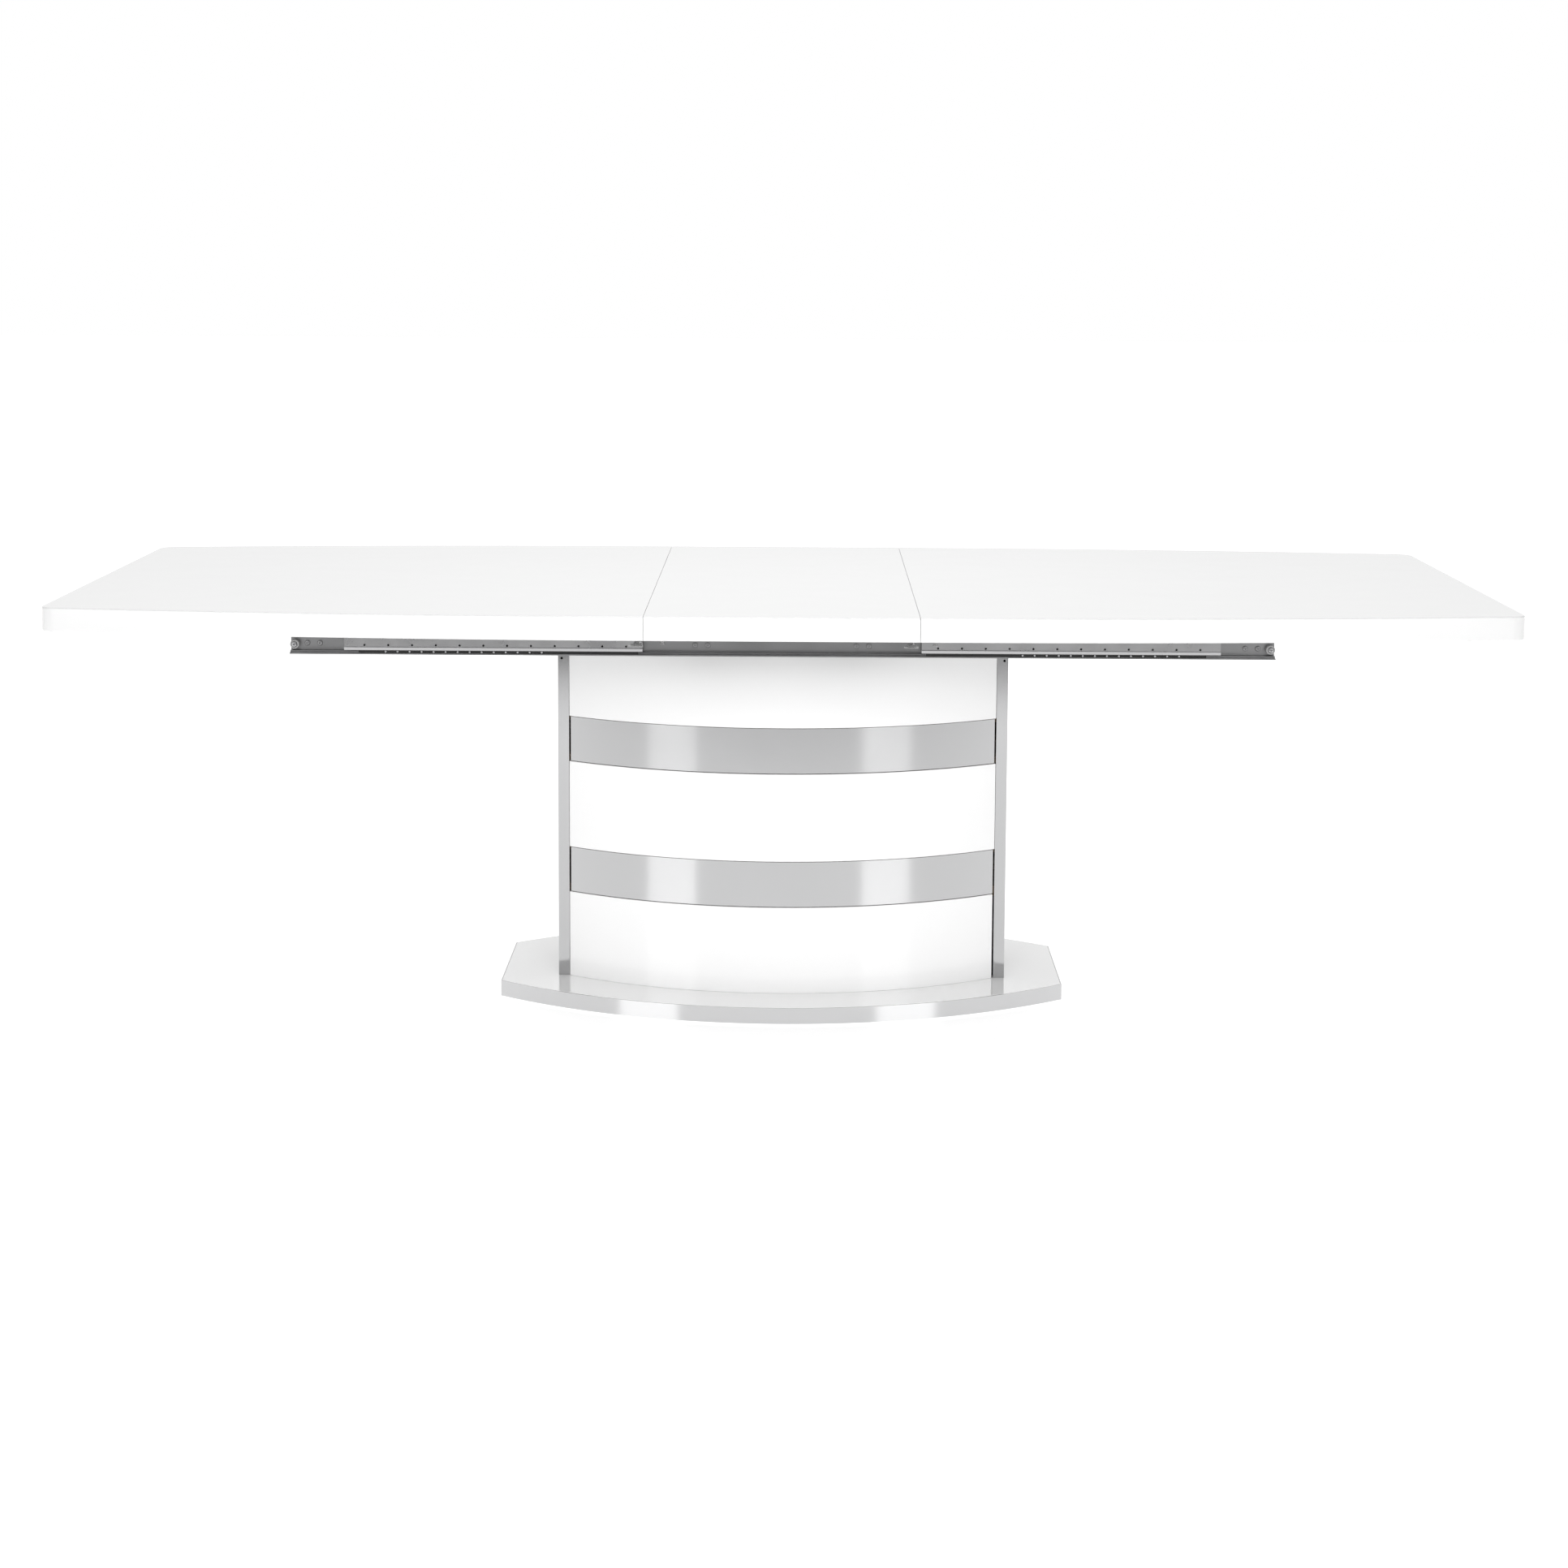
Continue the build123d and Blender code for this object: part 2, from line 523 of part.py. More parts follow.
with BuildPart() as rail_bumpers:
    for _, side in FACES:
        bumper_spots = [(x, side * web_face, z) for x, z in bumper_xz]
        cross_bars(bumper_spots, BUMPER_RADIUS, BUMPER_DEPTH, side)
        with Locations(*bumper_spots):
            Cylinder(
                RAIL_SCREW_RADIUS + HOLE_CLEARANCE,
                BUMPER_DEPTH,
                rotation=(-90 * side, 0, 0),
                align=BOTTOM_UP,
                mode=Mode.SUBTRACT,
            )
    round_edges = rail_bumpers.edges().filter_by(GeomType.CIRCLE)
    fillet(round_edges.filter_by(lambda e: e.radius > BUMPER_RADIUS - 0.1), radius=1.0)
save(rail_bumpers, "rail_bumpers")

with BuildPart() as bumper_bolts:
    for _, side in FACES:
        head_y = side * (web_face + BUMPER_DEPTH)
        cross_bars([(x, head_y, z) for x, z in bumper_xz], *BUMPER_BOLT_HEAD, side)
        shank_y = side * (RAIL_BACK - BUMPER_BOLT_TAIL)
        shank_length = BUMPER_BOLT_TAIL + RAIL_WALL + BUMPER_DEPTH
        cross_bars([(x, shank_y, z) for x, z in bumper_xz], RAIL_SCREW_RADIUS, shank_length, side)
save(bumper_bolts, "bumper_bolts")

# ---------------------------------------------------------------- moving slides, one pair for each half
slide_length = SLIDE_END - SLIDE_START
lip_foot, lip_out, lip_edge, lip_rise = SLIDE_LIP
ball_reach = [FIRST_BALL + step * BALL_PITCH for step in range(BALL_COUNT)]

for end_name, end in ENDS:
    start_x = SLIDE_START if end > 0 else -SLIDE_END
    for face_name, side in FACES:
        with BuildPart() as slide:
            with BuildSketch(Plane.YZ.offset(start_x)):
                with Locations((side * (SLIDE_BACK + SLIDE_WALL / 2), (SLIDE_BOTTOM + UNDERSIDE) / 2)):
                    Rectangle(SLIDE_WALL, UNDERSIDE - SLIDE_BOTTOM)
                flange_mid = (SLIDE_BACK + SLIDE_FLANGE_FRONT) / 2
                with Locations((side * flange_mid, UNDERSIDE - SLIDE_WALL / 2)):
                    Rectangle(SLIDE_FLANGE_FRONT - SLIDE_BACK, SLIDE_WALL)
                runner_mid = (SLIDE_BACK + RUNNER_BACK) / 2
                with Locations((side * runner_mid, RUNNER_TOP - RUNNER_THICKNESS / 2)):
                    Rectangle(SLIDE_BACK - RUNNER_BACK, RUNNER_THICKNESS)
                with BuildLine():
                    Polyline(
                        (side * SLIDE_FRONT, SLIDE_BOTTOM),
                        (side * (SLIDE_FRONT + lip_foot), SLIDE_BOTTOM),
                        (side * (SLIDE_FRONT + lip_out), SLIDE_BOTTOM + lip_edge),
                        (side * SLIDE_FRONT, SLIDE_BOTTOM + lip_rise),
                        close=True,
                    )
                make_face()
            extrude(amount=slide_length)
            steps = range(FACE_HOLE_COUNT)
            face_holes = [end * (FACE_HOLE_START + step * FACE_HOLE_PITCH) for step in steps]
            with Locations(*[(x, side * SLIDE_FRONT, FACE_HOLE_Z) for x in face_holes]):
                Cylinder(FACE_HOLE_RADIUS, 4 * SLIDE_WALL, rotation=(90, 0, 0), mode=Mode.SUBTRACT)
            flange_holes = [(x, y, UNDERSIDE) for x, y in slide_screw_points(end) if y * side > 0]
            with Locations(*flange_holes):
                Cylinder(SCREW_RADIUS + HOLE_CLEARANCE, 4 * SLIDE_WALL, mode=Mode.SUBTRACT)
        save(slide, f"{face_name}_{end_name}_slide")

    with BuildPart() as slide_stops:
        for _, side in FACES:
            stop_y = side * (STOP_BACK + SLIDE_BACK) / 2
            stop_height = RUNNER_TOP - RUNNER_THICKNESS - STOP_BOTTOM
            inner_x = end * (SLIDE_START + STOP_LENGTH / 2)
            outer_x = end * (SLIDE_END - STOP_LENGTH / 2)
            with Locations((inner_x, stop_y, STOP_BOTTOM), (outer_x, stop_y, STOP_BOTTOM)):
                Box(STOP_LENGTH, SLIDE_BACK - STOP_BACK, stop_height, align=BOTTOM_UP)
    save(slide_stops, f"{end_name}_slide_stops")

    with BuildPart() as ball_cages:
        for (x_low, x_high), (y_low, y_high), (z_low, z_high), (ball_y, ball_z, ball_radius) in (
            (LOWER_CAGE_X, LOWER_CAGE_Y, LOWER_CAGE_Z, LOWER_BALL),
            (UPPER_CAGE_X, UPPER_CAGE_Y, UPPER_CAGE_Z, UPPER_BALL),
        ):
            for _, side in FACES:
                with Locations((end * (x_low + x_high) / 2, side * (y_low + y_high) / 2, z_low)):
                    Box(x_high - x_low, y_high - y_low, z_high - z_low, align=BOTTOM_UP)
                with Locations(*[(end * x, side * ball_y, ball_z) for x in ball_reach]):
                    Cylinder(ball_radius + POCKET_CLEARANCE, 2 * ball_radius, mode=Mode.SUBTRACT)
    save(ball_cages, f"{end_name}_ball_cages")

    with BuildPart() as balls:
        for ball_y, ball_z, ball_radius in (LOWER_BALL, UPPER_BALL):
            with Locations(*[(end * x, side * ball_y, ball_z) for x in ball_reach for _, side in FACES]):
                Sphere(ball_radius)
    save(balls, f"{end_name}_balls")

# ---------------------------------------------------------------- leaf tongues
for end_name, end in ENDS:
    with BuildPart() as tongues:
        for y in tongue_centres(end):
            middle_x = end * (SEAM_X + (TONGUE_HOLD - TONGUE_REACH) / 2)
            with Locations((middle_x, y, UNDERSIDE - TONGUE_THICKNESS)):
                Box(TONGUE_HOLD + TONGUE_REACH, TONGUE_WIDTH, TONGUE_THICKNESS, align=BOTTOM_UP)
            with Locations((end * (SEAM_X - TONGUE_REACH / 2), y, UNDERSIDE - LEAF_CLEARANCE)):
                Box(TONGUE_REACH, TONGUE_WIDTH, 1.0, align=BOTTOM_UP, mode=Mode.SUBTRACT)
        with Locations(*[(x, y, UNDERSIDE) for x, y in tongue_screw_points(end)]):
            Cylinder(SCREW_RADIUS + HOLE_CLEARANCE, 4 * TONGUE_THICKNESS, mode=Mode.SUBTRACT)
    save(tongues, f"{end_name}_tongues")

# ---------------------------------------------------------------- catches at the two seams
for end_name, _ in ENDS:
    plate_low = UNDERSIDE - CATCH_PLATE
    for kind, x, screws, size, radius in (
        ("pivots", PIVOT_X[end_name], PIVOT_SCREWS[end_name], PIVOT_PLATE, STUD_RADIUS),
        ("keepers", KEEPER_X[end_name], KEEPER_SCREWS[end_name], KEEPER_PLATE, PIN_RADIUS),
    ):
        with BuildPart() as catch_plates:
            for _, side in FACES:
                with Locations((x, side * CATCH_Y, plate_low)):
                    Box(*size, CATCH_PLATE, align=BOTTOM_UP)
                bars([(x, side * CATCH_Y, CATCH_BOTTOM)], radius, plate_low - CATCH_BOTTOM)
                bars([(x, side * CATCH_Y, CATCH_BOTTOM)], radius + COLLAR[0], COLLAR[1])
            with Locations(*[(sx, sy, UNDERSIDE) for sx, sy in screws]):
                Cylinder(SCREW_RADIUS + HOLE_CLEARANCE, 4 * CATCH_PLATE, mode=Mode.SUBTRACT)
        save(catch_plates, f"{end_name}_seam_{kind}")

    for face_name, side in FACES:
        hook_plane = Plane(
            origin=(PIVOT_X[end_name], side * CATCH_Y, HOOK_TOP - HOOK_THICKNESS / 2),
            x_dir=(0, side, 0),
            z_dir=(0, 0, -side),
        )
        with BuildPart() as hook:
            with BuildSketch(hook_plane):
                Circle(CATCH_ARM + HOOK_RIM)
                Circle(CATCH_ARM - HOOK_RIM, mode=Mode.SUBTRACT)
                with BuildLine():
                    Polyline((0, 0), (60, -18), (60, 14), close=True)
                make_face(mode=Mode.INTERSECT)
                with Locations(((CATCH_ARM - STUD_RADIUS) / 2, -2.0)):
                    Rectangle(CATCH_ARM - STUD_RADIUS, HOOK_ARM_WIDTH)
                Circle(HOOK_HUB)
                Circle(STUD_RADIUS + 0.06, mode=Mode.SUBTRACT)
                with BuildSketch(mode=Mode.PRIVATE) as throat:
                    Circle(CATCH_ARM + PIN_RADIUS + THROAT_PLAY)
                    Circle(CATCH_ARM - PIN_RADIUS - THROAT_PLAY, mode=Mode.SUBTRACT)
                    with BuildLine():
                        Polyline((0, 0), (60, 0), (60, 30), close=True)
                    make_face(mode=Mode.INTERSECT)
                    with Locations((CATCH_ARM, 0)):
                        Circle(PIN_RADIUS + THROAT_PLAY)
                add(throat.sketch, mode=Mode.SUBTRACT)
            extrude(amount=HOOK_THICKNESS / 2, both=True)
        save(hook, f"{face_name}_{end_name}_hook")

# ---------------------------------------------------------------- wood screws, grouped by moving body
for end_name, end in ENDS:
    catch_screws = PIVOT_SCREWS["left"] if end < 0 else KEEPER_SCREWS["right"]
    with BuildPart() as top_screws:
        wood_screws(slide_screw_points(end), UNDERSIDE - SLIDE_WALL)
        wood_screws(tongue_screw_points(end), UNDERSIDE - TONGUE_THICKNESS)
        wood_screws(catch_screws, UNDERSIDE - CATCH_PLATE)
    save(top_screws, f"{end_name}_top_screws")

with BuildPart() as leaf_screws:
    wood_screws(BOARD_SCREWS["leaf"], UNDERSIDE - CATCH_PLATE)
save(leaf_screws, "leaf_screws")
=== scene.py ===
"""Looks of an extendable dining table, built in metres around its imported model.

The frame holds every part where it belongs. This script makes the visible pieces over it:
lacquered boards, polished and brushed steel, drawn slides, balls, catches and fixings, with the
studio they stand in.
"""

import logging
import math
from collections.abc import Callable, Iterator, Sequence
from dataclasses import dataclass, replace
from enum import Enum

import bmesh
import bpy
from mathutils import Matrix, Vector


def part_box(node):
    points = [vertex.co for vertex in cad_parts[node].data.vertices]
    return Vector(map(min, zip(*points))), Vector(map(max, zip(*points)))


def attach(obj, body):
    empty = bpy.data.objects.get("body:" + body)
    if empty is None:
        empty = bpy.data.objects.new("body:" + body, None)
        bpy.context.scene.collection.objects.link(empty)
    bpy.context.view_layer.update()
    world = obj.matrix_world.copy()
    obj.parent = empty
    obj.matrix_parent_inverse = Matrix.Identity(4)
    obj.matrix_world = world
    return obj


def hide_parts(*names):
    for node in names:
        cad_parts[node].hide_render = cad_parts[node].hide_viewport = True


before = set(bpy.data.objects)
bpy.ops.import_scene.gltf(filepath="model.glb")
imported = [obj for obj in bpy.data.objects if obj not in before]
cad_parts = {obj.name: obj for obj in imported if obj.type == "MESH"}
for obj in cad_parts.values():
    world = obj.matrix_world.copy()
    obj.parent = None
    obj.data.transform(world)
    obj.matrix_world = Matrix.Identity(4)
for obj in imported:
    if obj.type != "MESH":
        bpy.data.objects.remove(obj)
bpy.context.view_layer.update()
log = logging.getLogger("table")

Point2 = tuple[float, float]
Point3 = tuple[float, float, float]
Tree = bpy.types.NodeTree
Socket = bpy.types.NodeSocket
Spots = Sequence[tuple[Vector, Vector]]

MM = 0.001
MERGE = 2e-6
FINE_MERGE = 5e-7
NEAR = 0.01 * MM
BROKEN_EDGE = 0.3 * MM
FLAT_ANGLE = math.radians(0.05)
SHARP_ANGLE = math.radians(40)
QUARTER = math.pi / 2
UP = Vector((0, 0, 1))
SIDES = {"front": -1, "rear": 1}
ENDS = {"left": -1, "right": 1}


class Grain(Enum):
    """The direction that a metal's polishing lines run in."""

    ALONG_X = (3.0, 40.0, 900.0)
    UPRIGHT = (900.0, 900.0, 4.0)


# ---------------------------------------------------------------- finishes
@dataclass(frozen=True)
class Finish:
    """A procedural surface finish read from Object coordinates.

    Attributes:
        name: The material's name.
        colour: Base colour as linear red, green and blue.
        roughness: Mean roughness of the surface.
        metallic: 1 for bare metal, 0 for the rest.
        swing: How far the roughness wanders either side of its mean.
        mottle: How far the colour wanders, as a share of itself.
        patch: Size of the wandering patches, as noise scale per metre.
        grain: Noise scale per metre along X, Y and Z for the fine relief.
        relief: Depth of the fine relief in metres.
        coat: Weight of a clear coat.
        coat_roughness: Roughness of the clear coat.
        ior: Index of refraction.
        stretch: Anisotropy, for metal brushed along its UV map's U direction.
        lay: Turn of that anisotropy, as a share of a full turn.
        span: The part of the noise's range that the roughness follows.
    """

    name: str
    colour: Point3
    roughness: float
    metallic: float = 0.0
    swing: float = 0.02
    mottle: float = 0.01
    patch: float = 6.0
    grain: Point3 = (260.0, 260.0, 260.0)
    relief: float = 1e-5
    coat: float = 0.0
    coat_roughness: float = 0.03
    ior: float = 1.5
    stretch: float = 0.0
    lay: float = 0.25
    span: Point2 = (0.3, 0.7)

    def material(self) -> bpy.types.Material:
        """Make the finish's material on first use.

        Returns:
            The material, the same one on every call.
        """
        label = f"{self.name}_finish"
        made = bpy.data.materials.get(label)
        if made:
            return made
        made = bpy.data.materials.new(label)
        made.use_nodes = True
        tree = made.node_tree
        shader = next(n for n in tree.nodes if n.type == "BSDF_PRINCIPLED")
        shader.inputs["Metallic"].default_value = self.metallic
        shader.inputs["IOR"].default_value = self.ior
        shader.inputs["Coat Weight"].default_value = self.coat
        shader.inputs["Coat Roughness"].default_value = self.coat_roughness
        place = tree.nodes.new("ShaderNodeTexCoord")
        patches = self._noise(tree, place, (self.patch,) * 3, detail=4.0)
        self._colour(tree, patches, shader)
        self._roughness(tree, patches, shader)
        fine = self._noise(tree, place, self.grain, detail=3.0)
        bump = tree.nodes.new("ShaderNodeBump")
        bump.inputs["Distance"].default_value = self.relief
        bump.inputs["Strength"].default_value = 1.0
        tree.links.new(fine, bump.inputs["Height"])
        tree.links.new(bump.outputs["Normal"], shader.inputs["Normal"])
        if self.stretch:
            shader.inputs["Anisotropic"].default_value = self.stretch
            shader.inputs["Anisotropic Rotation"].default_value = self.lay
            tangent = tree.nodes.new("ShaderNodeTangent")
            tangent.direction_type = "UV_MAP"
            tangent.uv_map = "UVMap"
            tree.links.new(tangent.outputs["Tangent"], shader.inputs["Tangent"])
        return made

    def _noise(
        self, tree: Tree, place: bpy.types.Node, scale: Sequence[float], detail: float
    ) -> Socket:
        """Add a noise stretched by scale.

        Args:
            tree: The material's node tree.
            place: The Texture Coordinate node.
            scale: Noise scale per metre along X, Y and Z.
            detail: Octaves of the noise.

        Returns:
            The noise's factor socket.
        """
        mapping = tree.nodes.new("ShaderNodeMapping")
        mapping.inputs["Scale"].default_value = scale
        noise = tree.nodes.new("ShaderNodeTexNoise")
        noise.inputs["Scale"].default_value = 1.0
        noise.inputs["Detail"].default_value = detail
        tree.links.new(place.outputs["Object"], mapping.inputs["Vector"])
        tree.links.new(mapping.outputs["Vector"], noise.inputs["Vector"])
        return noise.outputs["Fac"]

    def _colour(self, tree: Tree, patches: Socket, shader: bpy.types.Node) -> None:
        """Let the base colour wander gently between two shades.

        Args:
            tree: The material's node tree.
            patches: The noise that the colour follows.
            shader: The Principled BSDF node.
        """
        mix = tree.nodes.new("ShaderNodeMix")
        mix.data_type = "RGBA"
        low, high = (tuple(c * (1 + sign * self.mottle) for c in self.colour) for sign in (-1, 1))
        mix.inputs["A"].default_value = (*low, 1.0)
        mix.inputs["B"].default_value = (*high, 1.0)
        tree.links.new(patches, mix.inputs["Factor"])
        tree.links.new(mix.outputs["Result"], shader.inputs["Base Color"])

    def _roughness(self, tree: Tree, patches: Socket, shader: bpy.types.Node) -> None:
        """Let the roughness wander either side of its mean.

        Args:
            tree: The material's node tree.
            patches: The noise that the roughness follows.
            shader: The Principled BSDF node.
        """
        spread = tree.nodes.new("ShaderNodeMapRange")
        spread.inputs["From Min"].default_value, spread.inputs["From Max"].default_value = self.span
        spread.inputs["To Min"].default_value = max(self.roughness - self.swing, 0.01)
        spread.inputs["To Max"].default_value = self.roughness + self.swing
        tree.links.new(patches, spread.inputs["Value"])
        tree.links.new(spread.outputs["Result"], shader.inputs["Roughness"])


@dataclass(frozen=True)
class Metal(Finish):
    """A finish of bare metal."""

    metallic: float = 1.0


def grey(level: float, blue: float | None = None) -> Point3:
    """Return a neutral grey, or a slightly cool one where its blue is given."""
    return (level, level, level if blue is None else blue)


TOP_LACQUER = Finish(
    "top_lacquer",
    grey(0.785),
    0.22,
    swing=0.01,
    mottle=0.003,
    relief=2e-6,
    coat=0.8,
    coat_roughness=0.18,
)
PANEL_LACQUER = Finish("panel_lacquer", grey(0.82), 0.07, mottle=0.006, relief=4e-6, coat=0.8)
# A lighter copy of the panels' white lacquer for the base board: painted light that makes up for
# the shade under the table top.
PAINTED_LIGHT_BASE_LACQUER = replace(PANEL_LACQUER, name="painted_light_base_lacquer", colour=grey(0.93))
POST_STEEL = Metal(
    "post_steel",
    grey(0.54, 0.545),
    0.1,
    swing=0.03,
    mottle=0.02,
    patch=9.0,
    grain=Grain.UPRIGHT.value,
    relief=2e-6,
)
BAND_STEEL = Metal(
    "band_steel",
    grey(0.59, 0.595),
    0.17,
    mottle=0.05,
    patch=7.0,
    grain=Grain.ALONG_X.value,
    relief=4e-6,
    stretch=0.9,
)
EDGE_STEEL = replace(
    BAND_STEEL,
    name="edge_steel",
    colour=grey(0.62, 0.625),
    roughness=0.12,
    mottle=0.02,
    patch=8.0,
    relief=3e-6,
    stretch=0.7,
)
RAIL_STEEL = Metal(
    "rail_steel",
    grey(0.33, 0.335),
    0.34,
    swing=0.06,
    mottle=0.05,
    patch=20.0,
    grain=Grain.ALONG_X.value,
    relief=2e-6,
)
SLIDE_ZINC = replace(
    RAIL_STEEL, name="slide_zinc", colour=grey(0.5, 0.505), roughness=0.3, patch=18.0
)
ZINC_PLATE = Metal("zinc_plate", grey(0.42), 0.28, swing=0.08, mottle=0.08, patch=90.0, relief=6e-6)
BRIGHT_STEEL = Metal(
    "bright_fixings", grey(0.5, 0.51), 0.25, swing=0.06, mottle=0.04, patch=120.0, relief=4e-6
)
DARK_SCREW = replace(BRIGHT_STEEL, name="dark_screw", colour=grey(0.36, 0.365), roughness=0.34)
BLACK_STEEL = Finish(
    "black_powder_coat", grey(0.03), 0.5, swing=0.06, mottle=0.1, patch=60.0, relief=4e-5
)
BLACK_PLASTIC = Finish(
    "black_plastic", grey(0.012), 0.55, swing=0.05, mottle=0.1, patch=60.0, relief=2e-5
)
GREY_RUBBER = Finish(
    "grey_rubber", grey(0.4), 0.7, swing=0.08, mottle=0.06, patch=90.0, relief=3e-5
)
RAW_BOARD = Finish(
    "raw_board", (0.48, 0.36, 0.24), 0.8, swing=0.08, mottle=0.18, patch=40.0, relief=1e-4
)


# ---------------------------------------------------------------- mesh making
def linked(name: str, data: bpy.types.ID) -> bpy.types.Object:
    """Put a new object in the scene.

    Args:
        name: The object's name.
        data: Its mesh, lamp or camera.

    Returns:
        The new object.
    """
    made = bpy.data.objects.new(name, data)
    bpy.context.scene.collection.objects.link(made)
    return made


def mesh_from(bm: bmesh.types.BMesh, name: str) -> bpy.types.Mesh:
    """Turn a bmesh into a mesh and free it.

    Args:
        bm: The bmesh, which isn't used again.
        name: The mesh's name.

    Returns:
        The new mesh.
    """
    mesh = bpy.data.meshes.new(name)
    bm.to_mesh(mesh)
    bm.free()
    return mesh


def tidy_piece(
    name: str, mesh: bpy.types.Mesh, finish: Finish, body: str, slot: str, node: str
) -> None:
    """Put a finished mesh in the scene, dress it and tie it to the frame.

    Args:
        name: The piece's name.
        mesh: Its mesh, in place.
        finish: The finish it wears.
        body: The body that it rides on.
        slot: The record's material slot; not used.
        node: The CAD node that it stands for.
    """
    mesh.name = name
    mesh.materials.clear()
    mesh.materials.append(finish.material())
    piece = linked(name, mesh)
    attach(piece, body)
    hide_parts(node)
    log.info("piece %s on %s", name, body)


def evaluated_mesh(obj: bpy.types.Object) -> bpy.types.Mesh:
    """Apply an object's modifiers and delete the object.

    Args:
        obj: The object, which isn't used again.

    Returns:
        A plain mesh of what it evaluated to.
    """
    depsgraph = bpy.context.evaluated_depsgraph_get()
    mesh = bpy.data.meshes.new_from_object(obj.evaluated_get(depsgraph), depsgraph=depsgraph)
    old = obj.data
    bpy.data.objects.remove(obj)
    if old.users == 0:
        bpy.data.meshes.remove(old)
    return mesh


def softened(mesh: bpy.types.Mesh, width: float, segments: int = 2) -> bpy.types.Mesh:
    """Break a mesh's sharp edges with a small bevel and shade it smooth.

    Args:
        mesh: A closed mesh with merged vertices.
        width: Bevel width in metres, 0 for none.
        segments: Faces across the bevel.

    Returns:
        The finished mesh.
    """
    for polygon in mesh.polygons:
        polygon.use_smooth = True
    work = linked("work", mesh)
    if width:
        bevel = work.modifiers.new("edges", "BEVEL")
        bevel.width = width
        bevel.segments = segments
        bevel.limit_method = "ANGLE"
        bevel.angle_limit = SHARP_ANGLE
        bevel.use_clamp_overlap = True
    else:
        mesh.set_sharp_from_angle(angle=SHARP_ANGLE)
    weigh = work.modifiers.new("shading", "WEIGHTED_NORMAL")
    weigh.keep_sharp = True
    weigh.weight = 100
    return evaluated_mesh(work)


def cad_copy(node: str) -> bpy.types.Mesh:
    """Copy a CAD node's mesh, with its points merged and its flat faces joined up.

    Args:
        node: The CAD node.

    Returns:
        The copy.
    """
    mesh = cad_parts[node].data.copy()
    bm = bmesh.new()
    bm.from_mesh(mesh)
    bmesh.ops.remove_doubles(bm, verts=bm.verts, dist=MERGE)
    bmesh.ops.dissolve_limit(
        bm,
        angle_limit=FLAT_ANGLE,
        verts=bm.verts,
        edges=bm.edges,
        use_dissolve_boundaries=False,
    )
    bm.to_mesh(mesh)
    bm.free()
    if "custom_normal" in mesh.attributes:
        mesh.attributes.remove(mesh.attributes["custom_normal"])
    return mesh


def islands(node: str) -> list[tuple[Vector, Vector]]:
    """Find the box of each loose solid in a CAD node.

    Args:
        node: The CAD node.

    Returns:
        The lowest and highest corner of each solid, sorted by the lowest.
    """
    bm = bmesh.new()
    bm.from_mesh(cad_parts[node].data)
    bmesh.ops.remove_doubles(bm, verts=bm.verts, dist=MERGE)
    seen: set[int] = set()
    found = []
    for start in bm.verts:
        if start.index in seen:
            continue
        seen.add(start.index)
        stack, points = [start], []
        while stack:
            vert = stack.pop()
            points.append(vert.co.copy())
            for edge in vert.link_edges:
                other = edge.other_vert(vert)
                if other.index not in seen:
                    seen.add(other.index)
                    stack.append(other)
        low = Vector([min(p[i] for p in points) for i in range(3)])
        high = Vector([max(p[i] for p in points) for i in range(3)])
        found.append((low, high))
    bm.free()
    return sorted(found, key=lambda box: tuple(box[0]))


def inward(
    previous: Vector, here: Vector, following: Vector, step_in: float, step_out: float
) -> Vector:
    """Work out how far a corner of an anticlockwise outline moves when its edges move inwards.

    Args:
        previous: The corner before.
        here: The corner itself.
        following: The corner after.
        step_in: How far the edge that arrives moves in.
        step_out: How far the edge that leaves moves in.

    Returns:
        The corner's shift.
    """
    first = (here - previous).normalized()
    second = (following - here).normalized()
    n1, n2 = Vector((-first.y, first.x)), Vector((-second.y, second.x))
    turn = n1.x * n2.y - n1.y * n2.x
    if abs(turn) < 1e-4:
        return n1 * step_in
    shift_x = (step_in * n2.y - step_out * n1.y) / turn
    shift_y = (step_out * n1.x - step_in * n2.x) / turn
    return Vector((shift_x, shift_y))


def run_lengths(plan: Sequence[Vector]) -> list[float]:
    """Measure along a closed plan.

    Args:
        plan: The plan's corners.

    Returns:
        The distance to each corner, and the whole way round last.
    """
    runs = [0.0]
    for here, following in zip(plan, [*plan[1:], plan[0]]):
        runs.append(runs[-1] + (following - here).length)
    return runs


def join_rings(
    bm: bmesh.types.BMesh,
    lower: Sequence[bmesh.types.BMVert],
    upper: Sequence[bmesh.types.BMVert],
    runs: Sequence[float],
    heights: Point2,
) -> None:
    """Join two rings of points with faces that are mapped by distance round and height.

    Args:
        bm: The bmesh, which has a UV layer.
        lower: The first ring.
        upper: The second ring.
        runs: Distance round the plan at each point, and the whole way last.
        heights: V on the first and on the second ring.
    """
    uv = bm.loops.layers.uv["UVMap"]
    low, high = heights
    for i in range(len(lower)):
        j = (i + 1) % len(lower)
        face = bm.faces.new((lower[i], lower[j], upper[j], upper[i]))
        marks = ((runs[i], low), (runs[i + 1], low), (runs[i + 1], high), (runs[i], high))
        for loop, mark in zip(face.loops, marks):
            loop[uv].uv = mark


